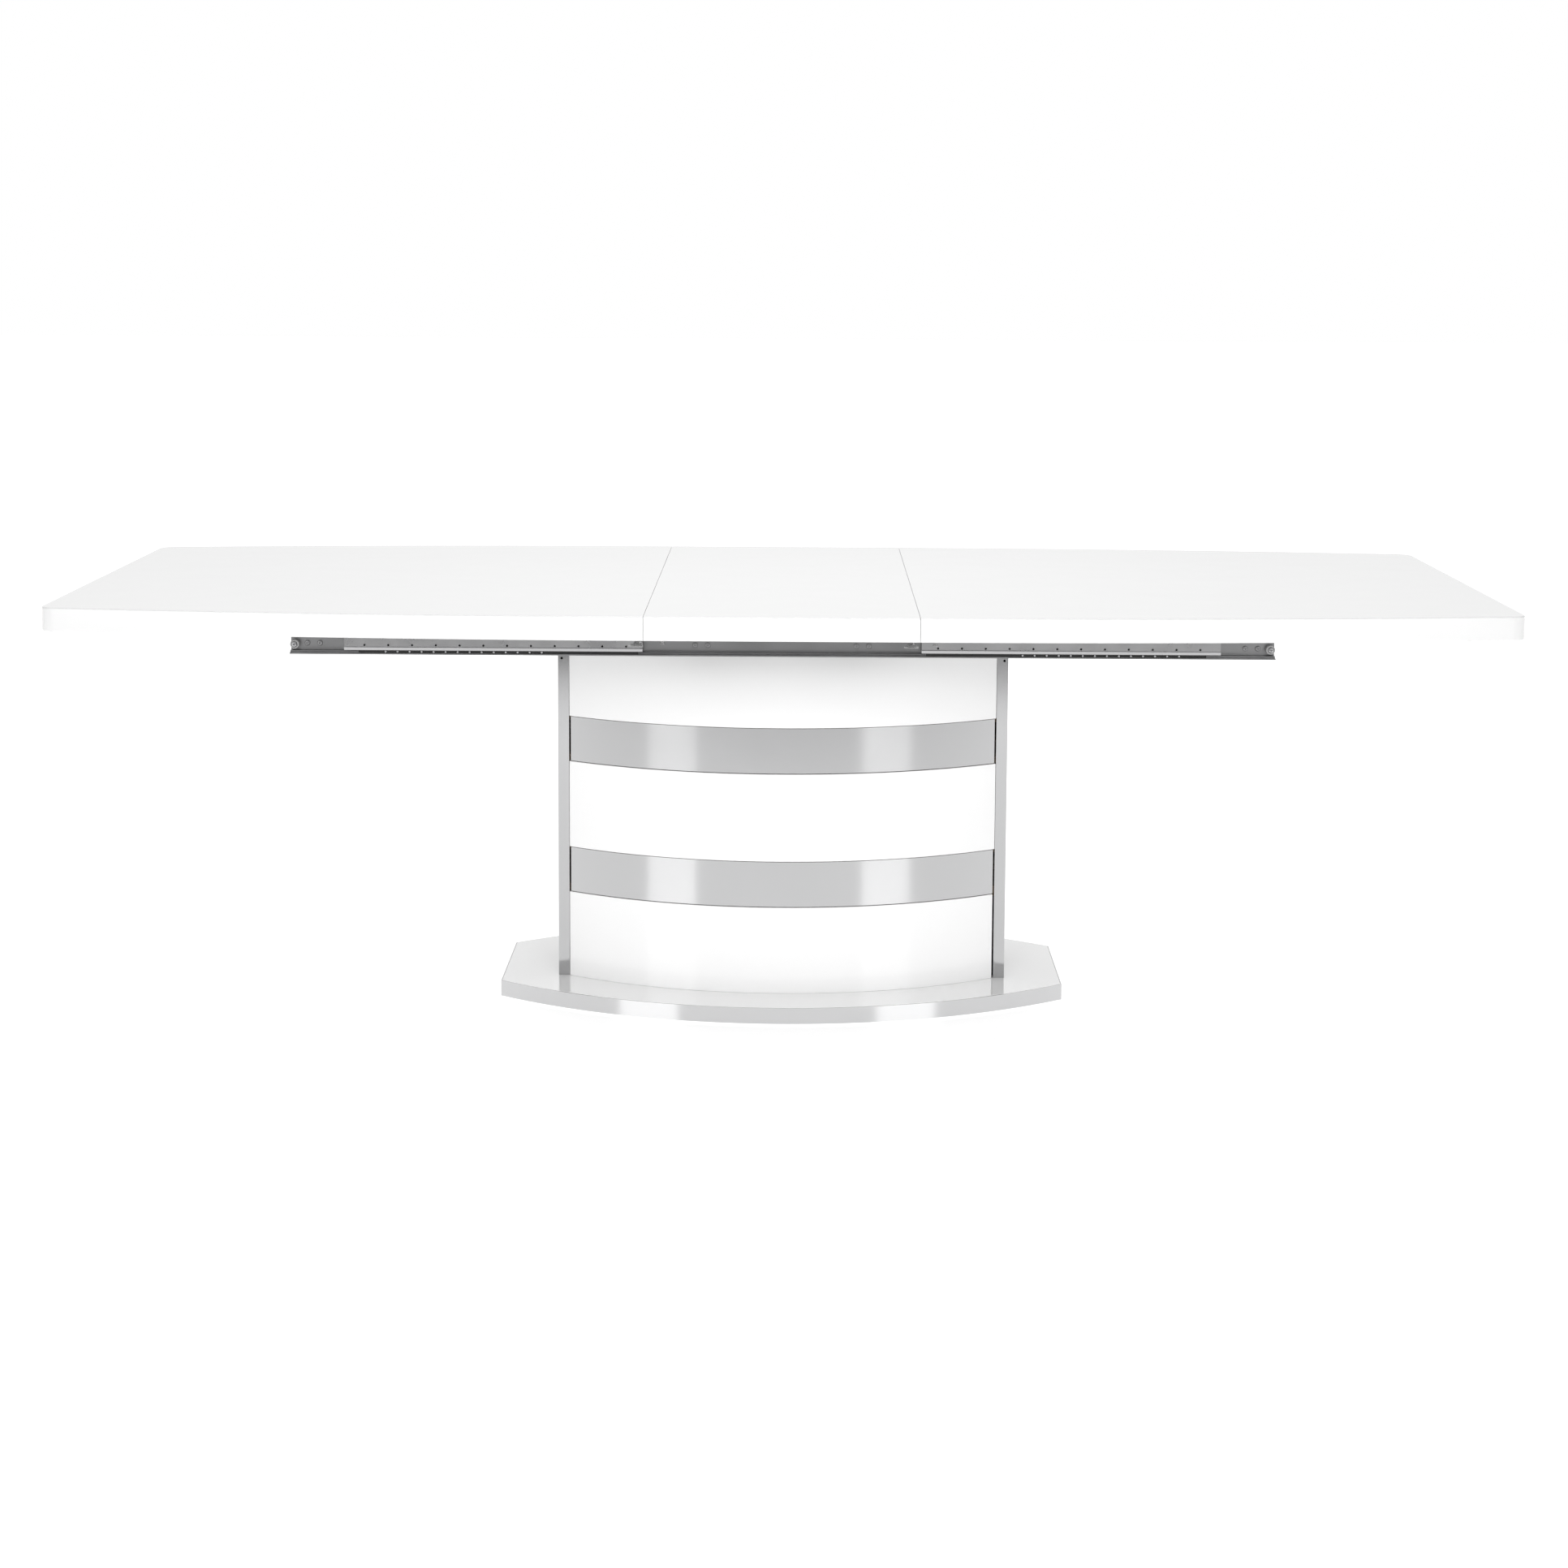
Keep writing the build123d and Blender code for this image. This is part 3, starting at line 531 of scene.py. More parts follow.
def board_mesh(
    outline: Sequence[Point2],
    low: float,
    high: float,
    radius: float,
    is_soft: Callable[[Vector, Vector], bool],
    steps: int = 5,
) -> bpy.types.Mesh:
    """Build a flat board with quarter-round edges above and below and a UV map along its rim.

    Args:
        outline: The plan, anticlockwise from above.
        low: Z of the underside.
        high: Z of the top.
        radius: Radius of the rounded edges.
        is_soft: Says whether the edge between two plan points is rounded.
        steps: Faces across each rounded edge.

    Returns:
        A closed mesh whose faces point outwards.
    """
    plan = [Vector(p) for p in outline]
    count = len(plan)
    soft = [is_soft(plan[i], plan[(i + 1) % count]) for i in range(count)]
    levels = []
    for k in range(steps + 1):
        angle = QUARTER * k / steps
        levels.append((low + radius * (1 - math.sin(angle)), radius * (1 - math.cos(angle))))
    levels.reverse()
    levels += [(low + high - z, inset) for z, inset in reversed(levels)]
    bm = bmesh.new()
    uv = bm.loops.layers.uv.new("UVMap")
    rings = []
    for z, inset in levels:
        ring = []
        for i, corner in enumerate(plan):
            steps_in = (inset if soft[i - 1] else 0.0, inset if soft[i] else 0.0)
            shift = inward(plan[i - 1], corner, plan[(i + 1) % count], *steps_in)
            ring.append(bm.verts.new((corner.x + shift.x, corner.y + shift.y, z)))
        rings.append(ring)
    runs = run_lengths(plan)
    for lower, upper, (z0, _), (z1, _) in zip(rings, rings[1:], levels, levels[1:]):
        join_rings(bm, lower, upper, runs, (z0, z1))
    for ring in (rings[0][::-1], rings[-1]):
        for loop in bm.faces.new(ring).loops:
            loop[uv].uv = loop.vert.co.xy
    bmesh.ops.remove_doubles(bm, verts=bm.verts, dist=FINE_MERGE)
    return softened(mesh_from(bm, "board"), 0.0)


def ring_mesh(
    inner: Sequence[Point2], wall: float, low: float, high: float, edge: float = BROKEN_EDGE
) -> bpy.types.Mesh:
    """Build a thin upright wall round a plan, with a UV map whose U runs round it.

    Args:
        inner: The wall's inner plan, anticlockwise.
        wall: Its thickness.
        low: Z of its lower edge.
        high: Z of its upper edge.
        edge: How much its outer edges are broken.

    Returns:
        A closed mesh.
    """
    plan = [Vector(p) for p in inner]
    count = len(plan)
    outer = []
    for i, corner in enumerate(plan):
        outer.append(corner + inward(plan[i - 1], corner, plan[(i + 1) % count], -wall, -wall))
    bm = bmesh.new()
    bm.loops.layers.uv.new("UVMap")
    section = (
        (0.0, low),
        (1.0 - edge / wall, low),
        (1.0, low + edge),
        (1.0, high - edge),
        (1.0 - edge / wall, high),
        (0.0, high),
    )
    rings = []
    for out, z in section:
        rings.append([bm.verts.new((*plan[i].lerp(outer[i], out), z)) for i in range(count)])
    runs = run_lengths(plan)
    for k, ring in enumerate(rings):
        n = (k + 1) % len(rings)
        join_rings(bm, ring, rings[n], runs, (section[k][1], section[n][1]))
    bmesh.ops.recalc_face_normals(bm, faces=bm.faces)
    return softened(mesh_from(bm, "ring"), 0.0)


def arc(centre: Point2, radius: float, start: float, end: float, count: int) -> list[Point2]:
    """Return points on an arc, angles in radians, both ends included."""
    turns = (start + (end - start) * k / count for k in range(count + 1))
    return [(centre[0] + radius * math.cos(t), centre[1] + radius * math.sin(t)) for t in turns]


def bow_radius(half: float, rise: float) -> float:
    """Return the radius of an arc with this half chord and rise."""
    return (half * half + rise * rise) / (2 * rise)


def bow_points(half: float, end_y: float, mid_y: float, count: int) -> list[Point2]:
    """Lay out a plan with straight ends and a bowed front and back.

    Args:
        half: Half its length.
        end_y: Half its depth at the ends.
        mid_y: Half its depth in the middle.
        count: Steps along each bow.

    Returns:
        The plan, anticlockwise.
    """
    radius = bow_radius(half, mid_y - end_y)
    reach = math.asin(half / radius)
    centre = mid_y - radius
    front = arc((0.0, -centre), radius, -QUARTER - reach, -QUARTER + reach, count)
    back = arc((0.0, centre), radius, QUARTER - reach, QUARTER + reach, count)
    return front + back


# ---------------------------------------------------------------- sub-assemblies
@dataclass
class TableTop:
    """The two lacquered halves and the loose leaf between them."""

    edge_round: float = 2.5 * MM
    corner_round: float = 30 * MM
    arc_steps: int = 72
    corner_steps: int = 14
    tangent_rounds: int = 4
    seam_margin: float = 0.1 * MM

    def build(self) -> None:
        """Make the three boards."""
        for end_name, end in ENDS.items():
            node = f"{end_name}_top"
            low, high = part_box(node)
            seam, tip = (low.x, high.x) if end > 0 else (high.x, low.x)
            plan = self._half_plan(end, seam, tip, high.y)
            mesh = board_mesh(plan, low.z, high.z, self.edge_round, self._beyond(seam))
            tidy_piece(f"{end_name}_half_board", mesh, TOP_LACQUER, node, "top_lacquer", node)
        low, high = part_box("leaf")
        plan = [(low.x, low.y), (high.x, low.y), (high.x, high.y), (low.x, high.y)]
        mesh = board_mesh(plan, low.z, high.z, self.edge_round, lambda a, b: abs(a.y - b.y) < MM)
        tidy_piece("leaf_board", mesh, TOP_LACQUER, "leaf", "top_lacquer", "leaf")

    def _half_plan(self, end: int, seam: float, tip: float, half_width: float) -> list[Point2]:
        """Lay out one half: a straight seam, bowed sides and rounded outer corners.

        Args:
            end: -1 for the left half and 1 for the right one.
            seam: X of its seam.
            tip: X of its end.
            half_width: Half its width at the seam.

        Returns:
            The plan, anticlockwise.
        """
        run = abs(tip - seam)
        drop = half_width - self._end_half_width(run, half_width)
        radius = bow_radius(run, drop)
        centre_y = half_width - radius
        corner_x = run - self.corner_round
        corner_y = centre_y + math.sqrt((radius - self.corner_round) ** 2 - corner_x**2)
        touch = math.atan2(corner_y - centre_y, corner_x)
        side = arc((0.0, centre_y), radius, QUARTER, touch, self.arc_steps)
        side += arc((corner_x, corner_y), self.corner_round, touch, 0.0, self.corner_steps)[1:]
        upper = [(seam + end * x, y) for x, y in side]
        lower = [(x, -y) for x, y in reversed(upper)]
        loop = upper + lower
        return loop if end < 0 else loop[::-1]

    def _end_half_width(self, run: float, half_width: float) -> float:
        """Read the width of the straight end from the CAD half, with its corners undone.

        Args:
            run: Length of the half from its seam to its end.
            half_width: Half the top's width at the seam.

        Returns:
            Half the width at which the end and the bowed side would meet.
        """
        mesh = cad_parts["right_top"].data
        tip = max(v.co.x for v in mesh.vertices)
        flat = max(v.co.y for v in mesh.vertices if v.co.x > tip - NEAR)
        meeting = flat + self.corner_round
        for _ in range(self.tangent_rounds):
            slope = 2 * math.atan((half_width - meeting) / run)
            meeting = flat + self.corner_round * math.tan(math.pi / 4 - slope / 2)
        return meeting

    def _beyond(self, seam: float) -> Callable[[Vector, Vector], bool]:
        """Return a test that says no only for the straight edge on the seam."""
        return lambda a, b: max(abs(a.x - seam), abs(b.x - seam)) >= self.seam_margin


@dataclass
class Base:
    """The lacquered base board and the steel band round its edge."""

    arc_steps: int = 96
    board_round: float = 1.2 * MM

    def build(self) -> None:
        """Make the board and its band on the same plan."""
        node = "base_board"
        low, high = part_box(node)
        plan = bow_points(high.x, self._end_depth(low.x), high.y, self.arc_steps)
        mesh = board_mesh(plan, low.z, high.z, self.board_round, lambda a, b: True)
        # The base board wears the lightened white lacquer, painted light against the shade under
        # the table top.
        tidy_piece("base_lacquered_board", mesh, PAINTED_LIGHT_BASE_LACQUER, "pedestal", "white_lacquer", node)
        node = "base_edge_band"
        band_low, band_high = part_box(node)
        mesh = ring_mesh(plan, band_high.x - high.x, band_low.z, band_high.z)
        tidy_piece("base_steel_edge", mesh, EDGE_STEEL, "pedestal", "polished_steel", node)

    def _end_depth(self, edge: float) -> float:
        """Return half the depth of the base board at its straight ends."""
        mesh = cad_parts["base_board"].data
        return max(v.co.y for v in mesh.vertices if v.co.x < edge + NEAR)


@dataclass
class Column:
    """The bowed pedestal column: posts, lacquered panels and steel bands."""

    arc_steps: int = 96
    panel_round: float = 1.0 * MM
    band_round: float = 0.25 * MM
    foot_gap: float = 3.0 * MM

    def build(self) -> None:
        """Make both faces' panels and bands, and the two posts."""
        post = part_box("left_post")[1]
        mid_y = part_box("rear_middle_panel")[1].y
        centre = mid_y - bow_radius(-post.x, mid_y - post.y)
        panels = ("lower", "middle", "upper")
        for face, side in SIDES.items():
            for node in (f"{face}_{level}_panel" for level in panels):
                mesh = self._skin(node, side, centre, self.panel_round)
                tidy_piece(f"{node}_skin", mesh, PANEL_LACQUER, "pedestal", "white_lacquer", node)
            for node in (f"{face}_{level}_band" for level in panels if level != "middle"):
                mesh = self._skin(node, side, centre, self.band_round)
                tidy_piece(f"{node}_skin", mesh, BAND_STEEL, "pedestal", "polished_steel", node)
        for node in (f"{end}_post" for end in ENDS):
            mesh = softened(cad_copy(node), BROKEN_EDGE)
            tidy_piece(f"{node}_tube", mesh, POST_STEEL, "pedestal", "polished_steel", node)

    def _skin(self, node: str, side: int, centre: float, edge: float) -> bpy.types.Mesh:
        """Build one bowed panel or band from its CAD box and the column's arc.

        Args:
            node: The CAD node that it stands for.
            side: -1 at the front and 1 at the rear.
            centre: Y of the arc's centre for the rear face.
            edge: Radius of the broken edges.

        Returns:
            The panel's mesh.
        """
        low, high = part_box(node)
        outer = max(abs(low.y), abs(high.y)) - centre
        inner_y = min(abs(low.y), abs(high.y))
        inner = math.hypot(max(abs(low.x), abs(high.x)), inner_y - centre)
        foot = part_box("base_board")[1].z
        bottom = foot if low.z - foot < self.foot_gap else low.z
        plan = []
        for radius, ends in ((outer, (high.x, low.x)), (inner, (low.x, high.x))):
            start, stop = (QUARTER - math.asin(x / radius) for x in ends)
            plan += arc((0.0, centre), radius, start, stop, self.arc_steps)
        if side < 0:
            plan = [(x, -y) for x, y in reversed(plan)]
        return board_mesh(plan, bottom, high.z, edge, lambda a, b: True)


@dataclass
class Slides:
    """The long rails, the halves' moving slides, their stops and the ball cages."""

    edge: float = BROKEN_EDGE

    def build(self) -> None:
        """Make every drawn and moulded piece of the slides."""
        for face in SIDES:
            rail = f"{face}_long_rail"
            mesh = softened(cad_copy(rail), self.edge)
            tidy_piece(f"{face}_drawn_rail", mesh, RAIL_STEEL, "pedestal", "rail_steel", rail)
        for end in ENDS:
            body = f"{end}_top"
            for node in (f"{face}_{end}_slide" for face in SIDES):
                mesh = softened(cad_copy(node), self.edge)
                tidy_piece(f"{node}_profile", mesh, SLIDE_ZINC, body, "slide_zinc", node)
            node = f"{end}_slide_stops"
            mesh = softened(cad_copy(node), self.edge)
            tidy_piece(f"{node}_moulded", mesh, BLACK_PLASTIC, body, "black_plastic", node)
            node = f"{end}_ball_cages"
            mesh = softened(cad_copy(node), 0.0)
            tidy_piece(f"{node}_strip", mesh, BLACK_PLASTIC, f"{end}_cages", "black_plastic", node)


@dataclass
class Hardware:
    """Plates, catches, tongues and the column's inner frame, copied with their edges broken."""

    def build(self) -> None:
        """Make each plate and tube: node, finish, body, slot and broken edge in millimetres."""
        jobs = [
            ("left_tongues", ZINC_PLATE, "left_top", "zinc_plate", 0.5),
            ("right_tongues", ZINC_PLATE, "right_top", "zinc_plate", 0.5),
            ("left_seam_pivots", ZINC_PLATE, "left_top", "zinc_plate", 0.25),
            ("left_seam_keepers", ZINC_PLATE, "leaf", "zinc_plate", 0.25),
            ("right_seam_pivots", ZINC_PLATE, "leaf", "zinc_plate", 0.25),
            ("right_seam_keepers", ZINC_PLATE, "right_top", "zinc_plate", 0.25),
            ("centre_bearers", BLACK_STEEL, "pedestal", "black_steel", 1.0),
            ("end_ties", BLACK_STEEL, "pedestal", "black_steel", 1.0),
            ("column_top_plate", BLACK_STEEL, "pedestal", "black_steel", 0.6),
            ("foot_plate", BLACK_STEEL, "pedestal", "black_steel", 0.6),
            ("core_uprights", BLACK_STEEL, "pedestal", "black_steel", 1.0),
            ("ballast_plates", BLACK_STEEL, "pedestal", "black_steel", 0.8),
            ("bearer_inserts", ZINC_PLATE, "pedestal", "zinc_plate", 0.3),
            ("column_ribs", RAW_BOARD, "pedestal", "raw_board", 0.6),
            ("base_glides", GREY_RUBBER, "pedestal", "soft_bumper", 0.0),
        ]
        for face in SIDES:
            for end in ENDS:
                node = f"{face}_{end}_hook"
                jobs.append((node, ZINC_PLATE, node, "zinc_plate", 0.35))
        for node, finish, body, slot, width in jobs:
            mesh = softened(cad_copy(node), width * MM)
            tidy_piece(f"{node}_made", mesh, finish, body, slot, node)


# ---------------------------------------------------------------- repeated pieces
class HeadStyle(Enum):
    """The kinds of screw and bolt head on the table."""

    CROSS_PAN = "cross_pan"
    SOCKET_BUTTON = "socket_button"


def lathe(profile: Sequence[Point2], count: int) -> bmesh.types.BMesh:
    """Turn a profile of radius and height about Z into a closed solid.

    Args:
        profile: Radius and height pairs, from the lower pole to the upper one.
        count: Steps round the axis.

    Returns:
        The solid as a bmesh, faces outwards.
    """
    bm = bmesh.new()
    rings = []
    for radius, height in profile:
        if radius < 1e-9:
            rings.append([bm.verts.new((0, 0, height))])
            continue
        turns = (2 * math.pi * k / count for k in range(count))
        spots = [(radius * math.cos(t), radius * math.sin(t), height) for t in turns]
        rings.append([bm.verts.new(spot) for spot in spots])
    for lower, upper in zip(rings, rings[1:]):
        for k in range(count):
            n = (k + 1) % count
            pairs = ((lower, k), (lower, n), (upper, n), (upper, k))
            bm.faces.new(list(dict.fromkeys(ring[i % len(ring)] for ring, i in pairs)))
    bmesh.ops.recalc_face_normals(bm, faces=bm.faces)
    return bm


@dataclass
class Fastener:
    """One kind of screw or bolt with its recess cut, on Z with the seat of its head at 0.

    Attributes:
        style: The kind of head.
        head_radius: Radius of the head.
        head_height: Height of the head.
        shank_radius: Radius of the shank.
        shank_length: Length of the shank below the seat.
        steps: Steps round the axis.
        crown: Steps over the crown of the head.
    """

    style: HeadStyle
    head_radius: float
    head_height: float
    shank_radius: float
    shank_length: float
    steps: int = 24
    crown: int = 5

    def template(self) -> bpy.types.Object:
        """Make the fastener as a template.

        Returns:
            The fastener's object, to be removed after its copies are made.
        """
        body = linked("fastener", mesh_from(lathe(self._profile(), self.steps), "fastener"))
        for cutter in self._cutters():
            cut = body.modifiers.new("recess", "BOOLEAN")
            cut.operation = "DIFFERENCE"
            cut.solver = "EXACT"
            cut.object = cutter
        cutters = [m.object for m in body.modifiers]
        made = evaluated_mesh(body)
        for cutter in cutters:
            bpy.data.objects.remove(cutter)
        return linked("fastener", softened(made, 0.0))

    def _profile(self) -> list[Point2]:
        """Draw the outline: a pointed shank, a straight rim and a round crown with a flat top.

        Returns:
            Radius and height pairs, from the tip up.
        """
        r, h = self.head_radius, self.head_height
        shank, tip = self.shank_radius, -self.shank_length
        profile = [(0.0, tip), (shank * 0.6, tip), (shank, tip + shank), (shank, 0.0)]
        profile += [(r * 0.96, 0.0), (r, h * 0.12), (r, h * 0.4)]
        for k in range(1, self.crown):
            turn = QUARTER * k / self.crown
            profile.append((r * (0.55 + 0.45 * math.cos(turn)), h * (0.4 + 0.6 * math.sin(turn))))
        return [*profile, (r * 0.55, h), (0.0, h)]

    def _cutters(self) -> Iterator[bpy.types.Object]:
        """Make the solids that cut the driver's recess.

        Yields:
            Each solid's object.
        """
        r, h = self.head_radius, self.head_height
        if self.style is HeadStyle.SOCKET_BUTTON:
            socket = r * 0.42
            turns = [t * math.pi / 3 for t in range(6)]
            yield self._prism([(socket * math.cos(t), socket * math.sin(t)) for t in turns], h)
            return
        for long_x, long_y in ((0.55, 0.13), (0.13, 0.55)):
            corners = [(-long_x, -long_y), (long_x, -long_y), (long_x, long_y), (-long_x, long_y)]
            yield self._prism([(x * r, y * r) for x, y in corners], h)

    def _prism(self, outline: Sequence[Point2], height: float) -> bpy.types.Object:
        """Make a tapering prism that reaches from low in the head to above it.

        Args:
            outline: The recess's plan.
            height: Height of the head.

        Returns:
            The prism's object.
        """
        bm = bmesh.new()
        low = [bm.verts.new((x * 0.7, y * 0.7, height * 0.35)) for x, y in outline]
        top = [bm.verts.new((x * 1.1, y * 1.1, height * 1.3)) for x, y in outline]
        bm.faces.new(list(reversed(low)))
        bm.faces.new(top)
        for k in range(len(low)):
            n = (k + 1) % len(low)
            bm.faces.new((low[k], low[n], top[n], top[k]))
        return linked("cutter", mesh_from(bm, "cutter"))


def scatter_tree(name: str, finish: Finish) -> bpy.types.NodeTree:
    """Build a node tree that stands a template on every point, turned along the point's axis.

    Args:
        name: The tree's name.
        finish: The finish that the copies wear.

    Returns:
        The tree, with inputs Template, Size and Turn seed.
    """
    tree = bpy.data.node_groups.new(name, "GeometryNodeTree")
    face = tree.interface
    face.new_socket("Geometry", in_out="INPUT", socket_type="NodeSocketGeometry")
    face.new_socket("Template", in_out="INPUT", socket_type="NodeSocketObject")
    size = face.new_socket("Size", in_out="INPUT", socket_type="NodeSocketFloat")
    size.default_value = 1.0
    seed = face.new_socket("Turn seed", in_out="INPUT", socket_type="NodeSocketInt")
    seed.default_value = 7
    face.new_socket("Geometry", in_out="OUTPUT", socket_type="NodeSocketGeometry")
    nodes, links = tree.nodes, tree.links
    given = nodes.new("NodeGroupInput")
    result = nodes.new("NodeGroupOutput")
    info = nodes.new("GeometryNodeObjectInfo")
    axis = nodes.new("GeometryNodeInputNamedAttribute")
    axis.data_type = "FLOAT_VECTOR"
    axis.inputs["Name"].default_value = "axis"
    align = nodes.new("FunctionNodeAlignRotationToVector")
    align.axis = "Z"
    spin = nodes.new("FunctionNodeRandomValue")
    spin.data_type = "FLOAT"
    turn = nodes.new("FunctionNodeAxisAngleToRotation")
    turn.inputs["Axis"].default_value = (0, 0, 1)
    both = nodes.new("FunctionNodeRotateRotation")
    both.rotation_space = "LOCAL"
    place = nodes.new("GeometryNodeInstanceOnPoints")
    real = nodes.new("GeometryNodeRealizeInstances")
    dress = nodes.new("GeometryNodeSetMaterial")
    dress.inputs["Material"].default_value = finish.material()
    angle = next(s for s in spin.inputs if s.name == "Max" and s.type == "VALUE")
    angle.default_value = math.tau
    value = next(s for s in spin.outputs if s.type == "VALUE")
    links.new(given.outputs["Template"], info.inputs["Object"])
    links.new(given.outputs["Turn seed"], spin.inputs["Seed"])
    links.new(axis.outputs["Attribute"], align.inputs["Vector"])
    links.new(value, turn.inputs["Angle"])
    links.new(align.outputs["Rotation"], both.inputs["Rotation"])
    links.new(turn.outputs["Rotation"], both.inputs["Rotate By"])
    links.new(given.outputs["Geometry"], place.inputs["Points"])
    links.new(info.outputs["Geometry"], place.inputs["Instance"])
    links.new(both.outputs["Rotation"], place.inputs["Rotation"])
    links.new(given.outputs["Size"], place.inputs["Scale"])
    links.new(place.outputs["Instances"], real.inputs["Geometry"])
    links.new(real.outputs["Geometry"], dress.inputs["Geometry"])
    links.new(dress.outputs["Geometry"], result.inputs["Geometry"])
    return tree


def scattered(spots: Spots, template: bpy.types.Object, tree: Tree) -> bpy.types.Mesh:
    """Stand a template on each spot with Geometry Nodes and delete the template.

    Args:
        spots: Seat and outward axis of each copy.
        template: The object to copy.
        tree: A tree from scatter_tree.

    Returns:
        One mesh that holds every copy.
    """
    points = bpy.data.meshes.new("spots")
    points.from_pydata([tuple(seat) for seat, _ in spots], [], [])
    axes = points.attributes.new("axis", "FLOAT_VECTOR", "POINT")
    for item, (_, axis) in zip(axes.data, spots):
        item.vector = axis
    holder = linked("spots", points)
    scatter = holder.modifiers.new("scatter", "NODES")
    scatter.node_group = tree
    for socket in tree.interface.items_tree:
        if socket.item_type == "SOCKET" and socket.in_out == "INPUT" and socket.name == "Template":
            scatter[socket.identifier] = template
    mesh = evaluated_mesh(holder)
    bpy.data.objects.remove(template)
    return mesh


@dataclass
class Fixings:
    """Screws, bolts, bumpers and balls, each stood where the CAD has it."""

    wood_head: float = 2.5 * MM
    rail_head: float = 2.5 * MM
    rail_shank: float = 3 * MM
    bearer_head: float = 4 * MM
    foot_head: float = 5 * MM
    bolt_shank: float = 4 * MM
    bumper_head: float = 4 * MM
    bumper_shank: float = 3 * MM
    bumper_bore: float = 3.2 * MM
    bumper_steps: int = 40
    ball_rows: int = 10
    ball_steps: int = 14

    def build(self) -> None:
        """Make every repeated piece."""
        tree = scatter_tree("bright_fixings_scatter", BRIGHT_STEEL)
        self._wood_screws(tree)
        self._rail_screws(scatter_tree("rail_screw_scatter", DARK_SCREW))
        self._frame_bolts(tree)
        self._bumpers(scatter_tree("bumper_scatter", GREY_RUBBER), tree)
        self._balls(tree)

    def _wood_screws(self, tree: Tree) -> None:
        """Make the pan head screws that hang under the boards, all with the shortest one's shank.

        Args:
            tree: The tree that stands them.
        """
        owners = {"left_top_screws": "left_top", "right_top_screws": "right_top"}
        owners["leaf_screws"] = "leaf"
        for node, body in owners.items():
            boxes = islands(node)
            radius = (boxes[0][1].x - boxes[0][0].x) / 2
            by_length: dict[float, list[tuple[Vector, Vector]]] = {}
            for low, high in boxes:
                seat = Vector(((low.x + high.x) / 2, (low.y + high.y) / 2, low.z + self.wood_head))
                by_length.setdefault(round(high.z - low.z, 5), []).append((seat, -UP))
            shank = min(by_length) - self.wood_head
            screw = Fastener(HeadStyle.CROSS_PAN, radius, self.wood_head, radius / 2, shank)
            spots = [spot for group in by_length.values() for spot in group]
            mesh = scattered(spots, screw.template(), tree)
            tidy_piece(f"{node}_driven", mesh, BRIGHT_STEEL, body, "bright_fixings", node)

    def _rail_screws(self, tree: Tree) -> None:
        """Make the button head screws that join the long rails to the cross members.

        Args:
            tree: The tree that stands them.
        """
        node, head = "rail_screws", self.rail_head
        boxes = islands(node)
        spots = []
        for low, high in boxes:
            side = -1 if low.y < 0 else 1
            face = (low.y if side < 0 else high.y) - side * head
            seat = Vector(((low.x + high.x) / 2, face, (low.z + high.z) / 2))
            spots.append((seat, Vector((0, side, 0))))
        low, high = boxes[0]
        length = high.y - low.y - head
        radius = (high.z - low.z) / 2
        screw = Fastener(HeadStyle.SOCKET_BUTTON, radius, head, self.rail_shank, length)
        mesh = scattered(spots, screw.template(), tree)
        tidy_piece(f"{node}_driven", mesh, DARK_SCREW, "pedestal", "bright_fixings", node)

    def _frame_bolts(self, tree: Tree) -> None:
        """Make the bolts through the bearers, heads up, and through the base, heads down.

        Args:
            tree: The tree that stands them.
        """
        kinds = (("bearer_bolts", self.bearer_head, 1), ("foot_bolts", self.foot_head, -1))
        for node, head, sign in kinds:
            boxes = islands(node)
            spots = []
            for low, high in boxes:
                seat = high.z - head if sign > 0 else low.z + head
                spot = Vector(((low.x + high.x) / 2, (low.y + high.y) / 2, seat))
                spots.append((spot, UP * sign))
            low, high = boxes[0]
            radius, length = (high.x - low.x) / 2, high.z - low.z - head
            bolt = Fastener(HeadStyle.SOCKET_BUTTON, radius, head, self.bolt_shank, length)
            mesh = scattered(spots, bolt.template(), tree)
            tidy_piece(f"{node}_driven", mesh, BRIGHT_STEEL, "pedestal", "bright_fixings", node)

    def _bumpers(self, rubber: Tree, bright: Tree) -> None:
        """Make the grey rubber bumpers on the rails' ends, each on a bright bolt.

        Args:
            rubber: The tree that stands the bumpers.
            bright: The tree that stands their bolts.
        """
        node = "rail_bumpers"
        spots, heads = [], []
        boxes = islands(node)
        for low, high in boxes:
            side = -1 if low.y < 0 else 1
            seat = high.y if side < 0 else low.y
            x, z = (low.x + high.x) / 2, (low.z + high.z) / 2
            spots.append((Vector((x, seat, z)), Vector((0, side, 0))))
            outer = seat + side * (high.y - low.y)
            heads.append((Vector((x, outer, z)), Vector((0, side, 0))))
        low, high = boxes[-1]
        template = self._bumper((high.x - low.x) / 2, high.y - low.y)
        mesh = scattered(spots, template, rubber)
        tidy_piece(f"{node}_moulded", mesh, GREY_RUBBER, "pedestal", "soft_bumper", node)
        node, head = "bumper_bolts", self.bumper_head
        low, high = islands(node)[0]
        radius, length = (high.z - low.z) / 2, high.y - low.y - head
        bolt = Fastener(HeadStyle.SOCKET_BUTTON, radius, head, self.bumper_shank, length)
        mesh = scattered(heads, bolt.template(), bright)
        tidy_piece(f"{node}_driven", mesh, BRIGHT_STEEL, "pedestal", "bright_fixings", node)

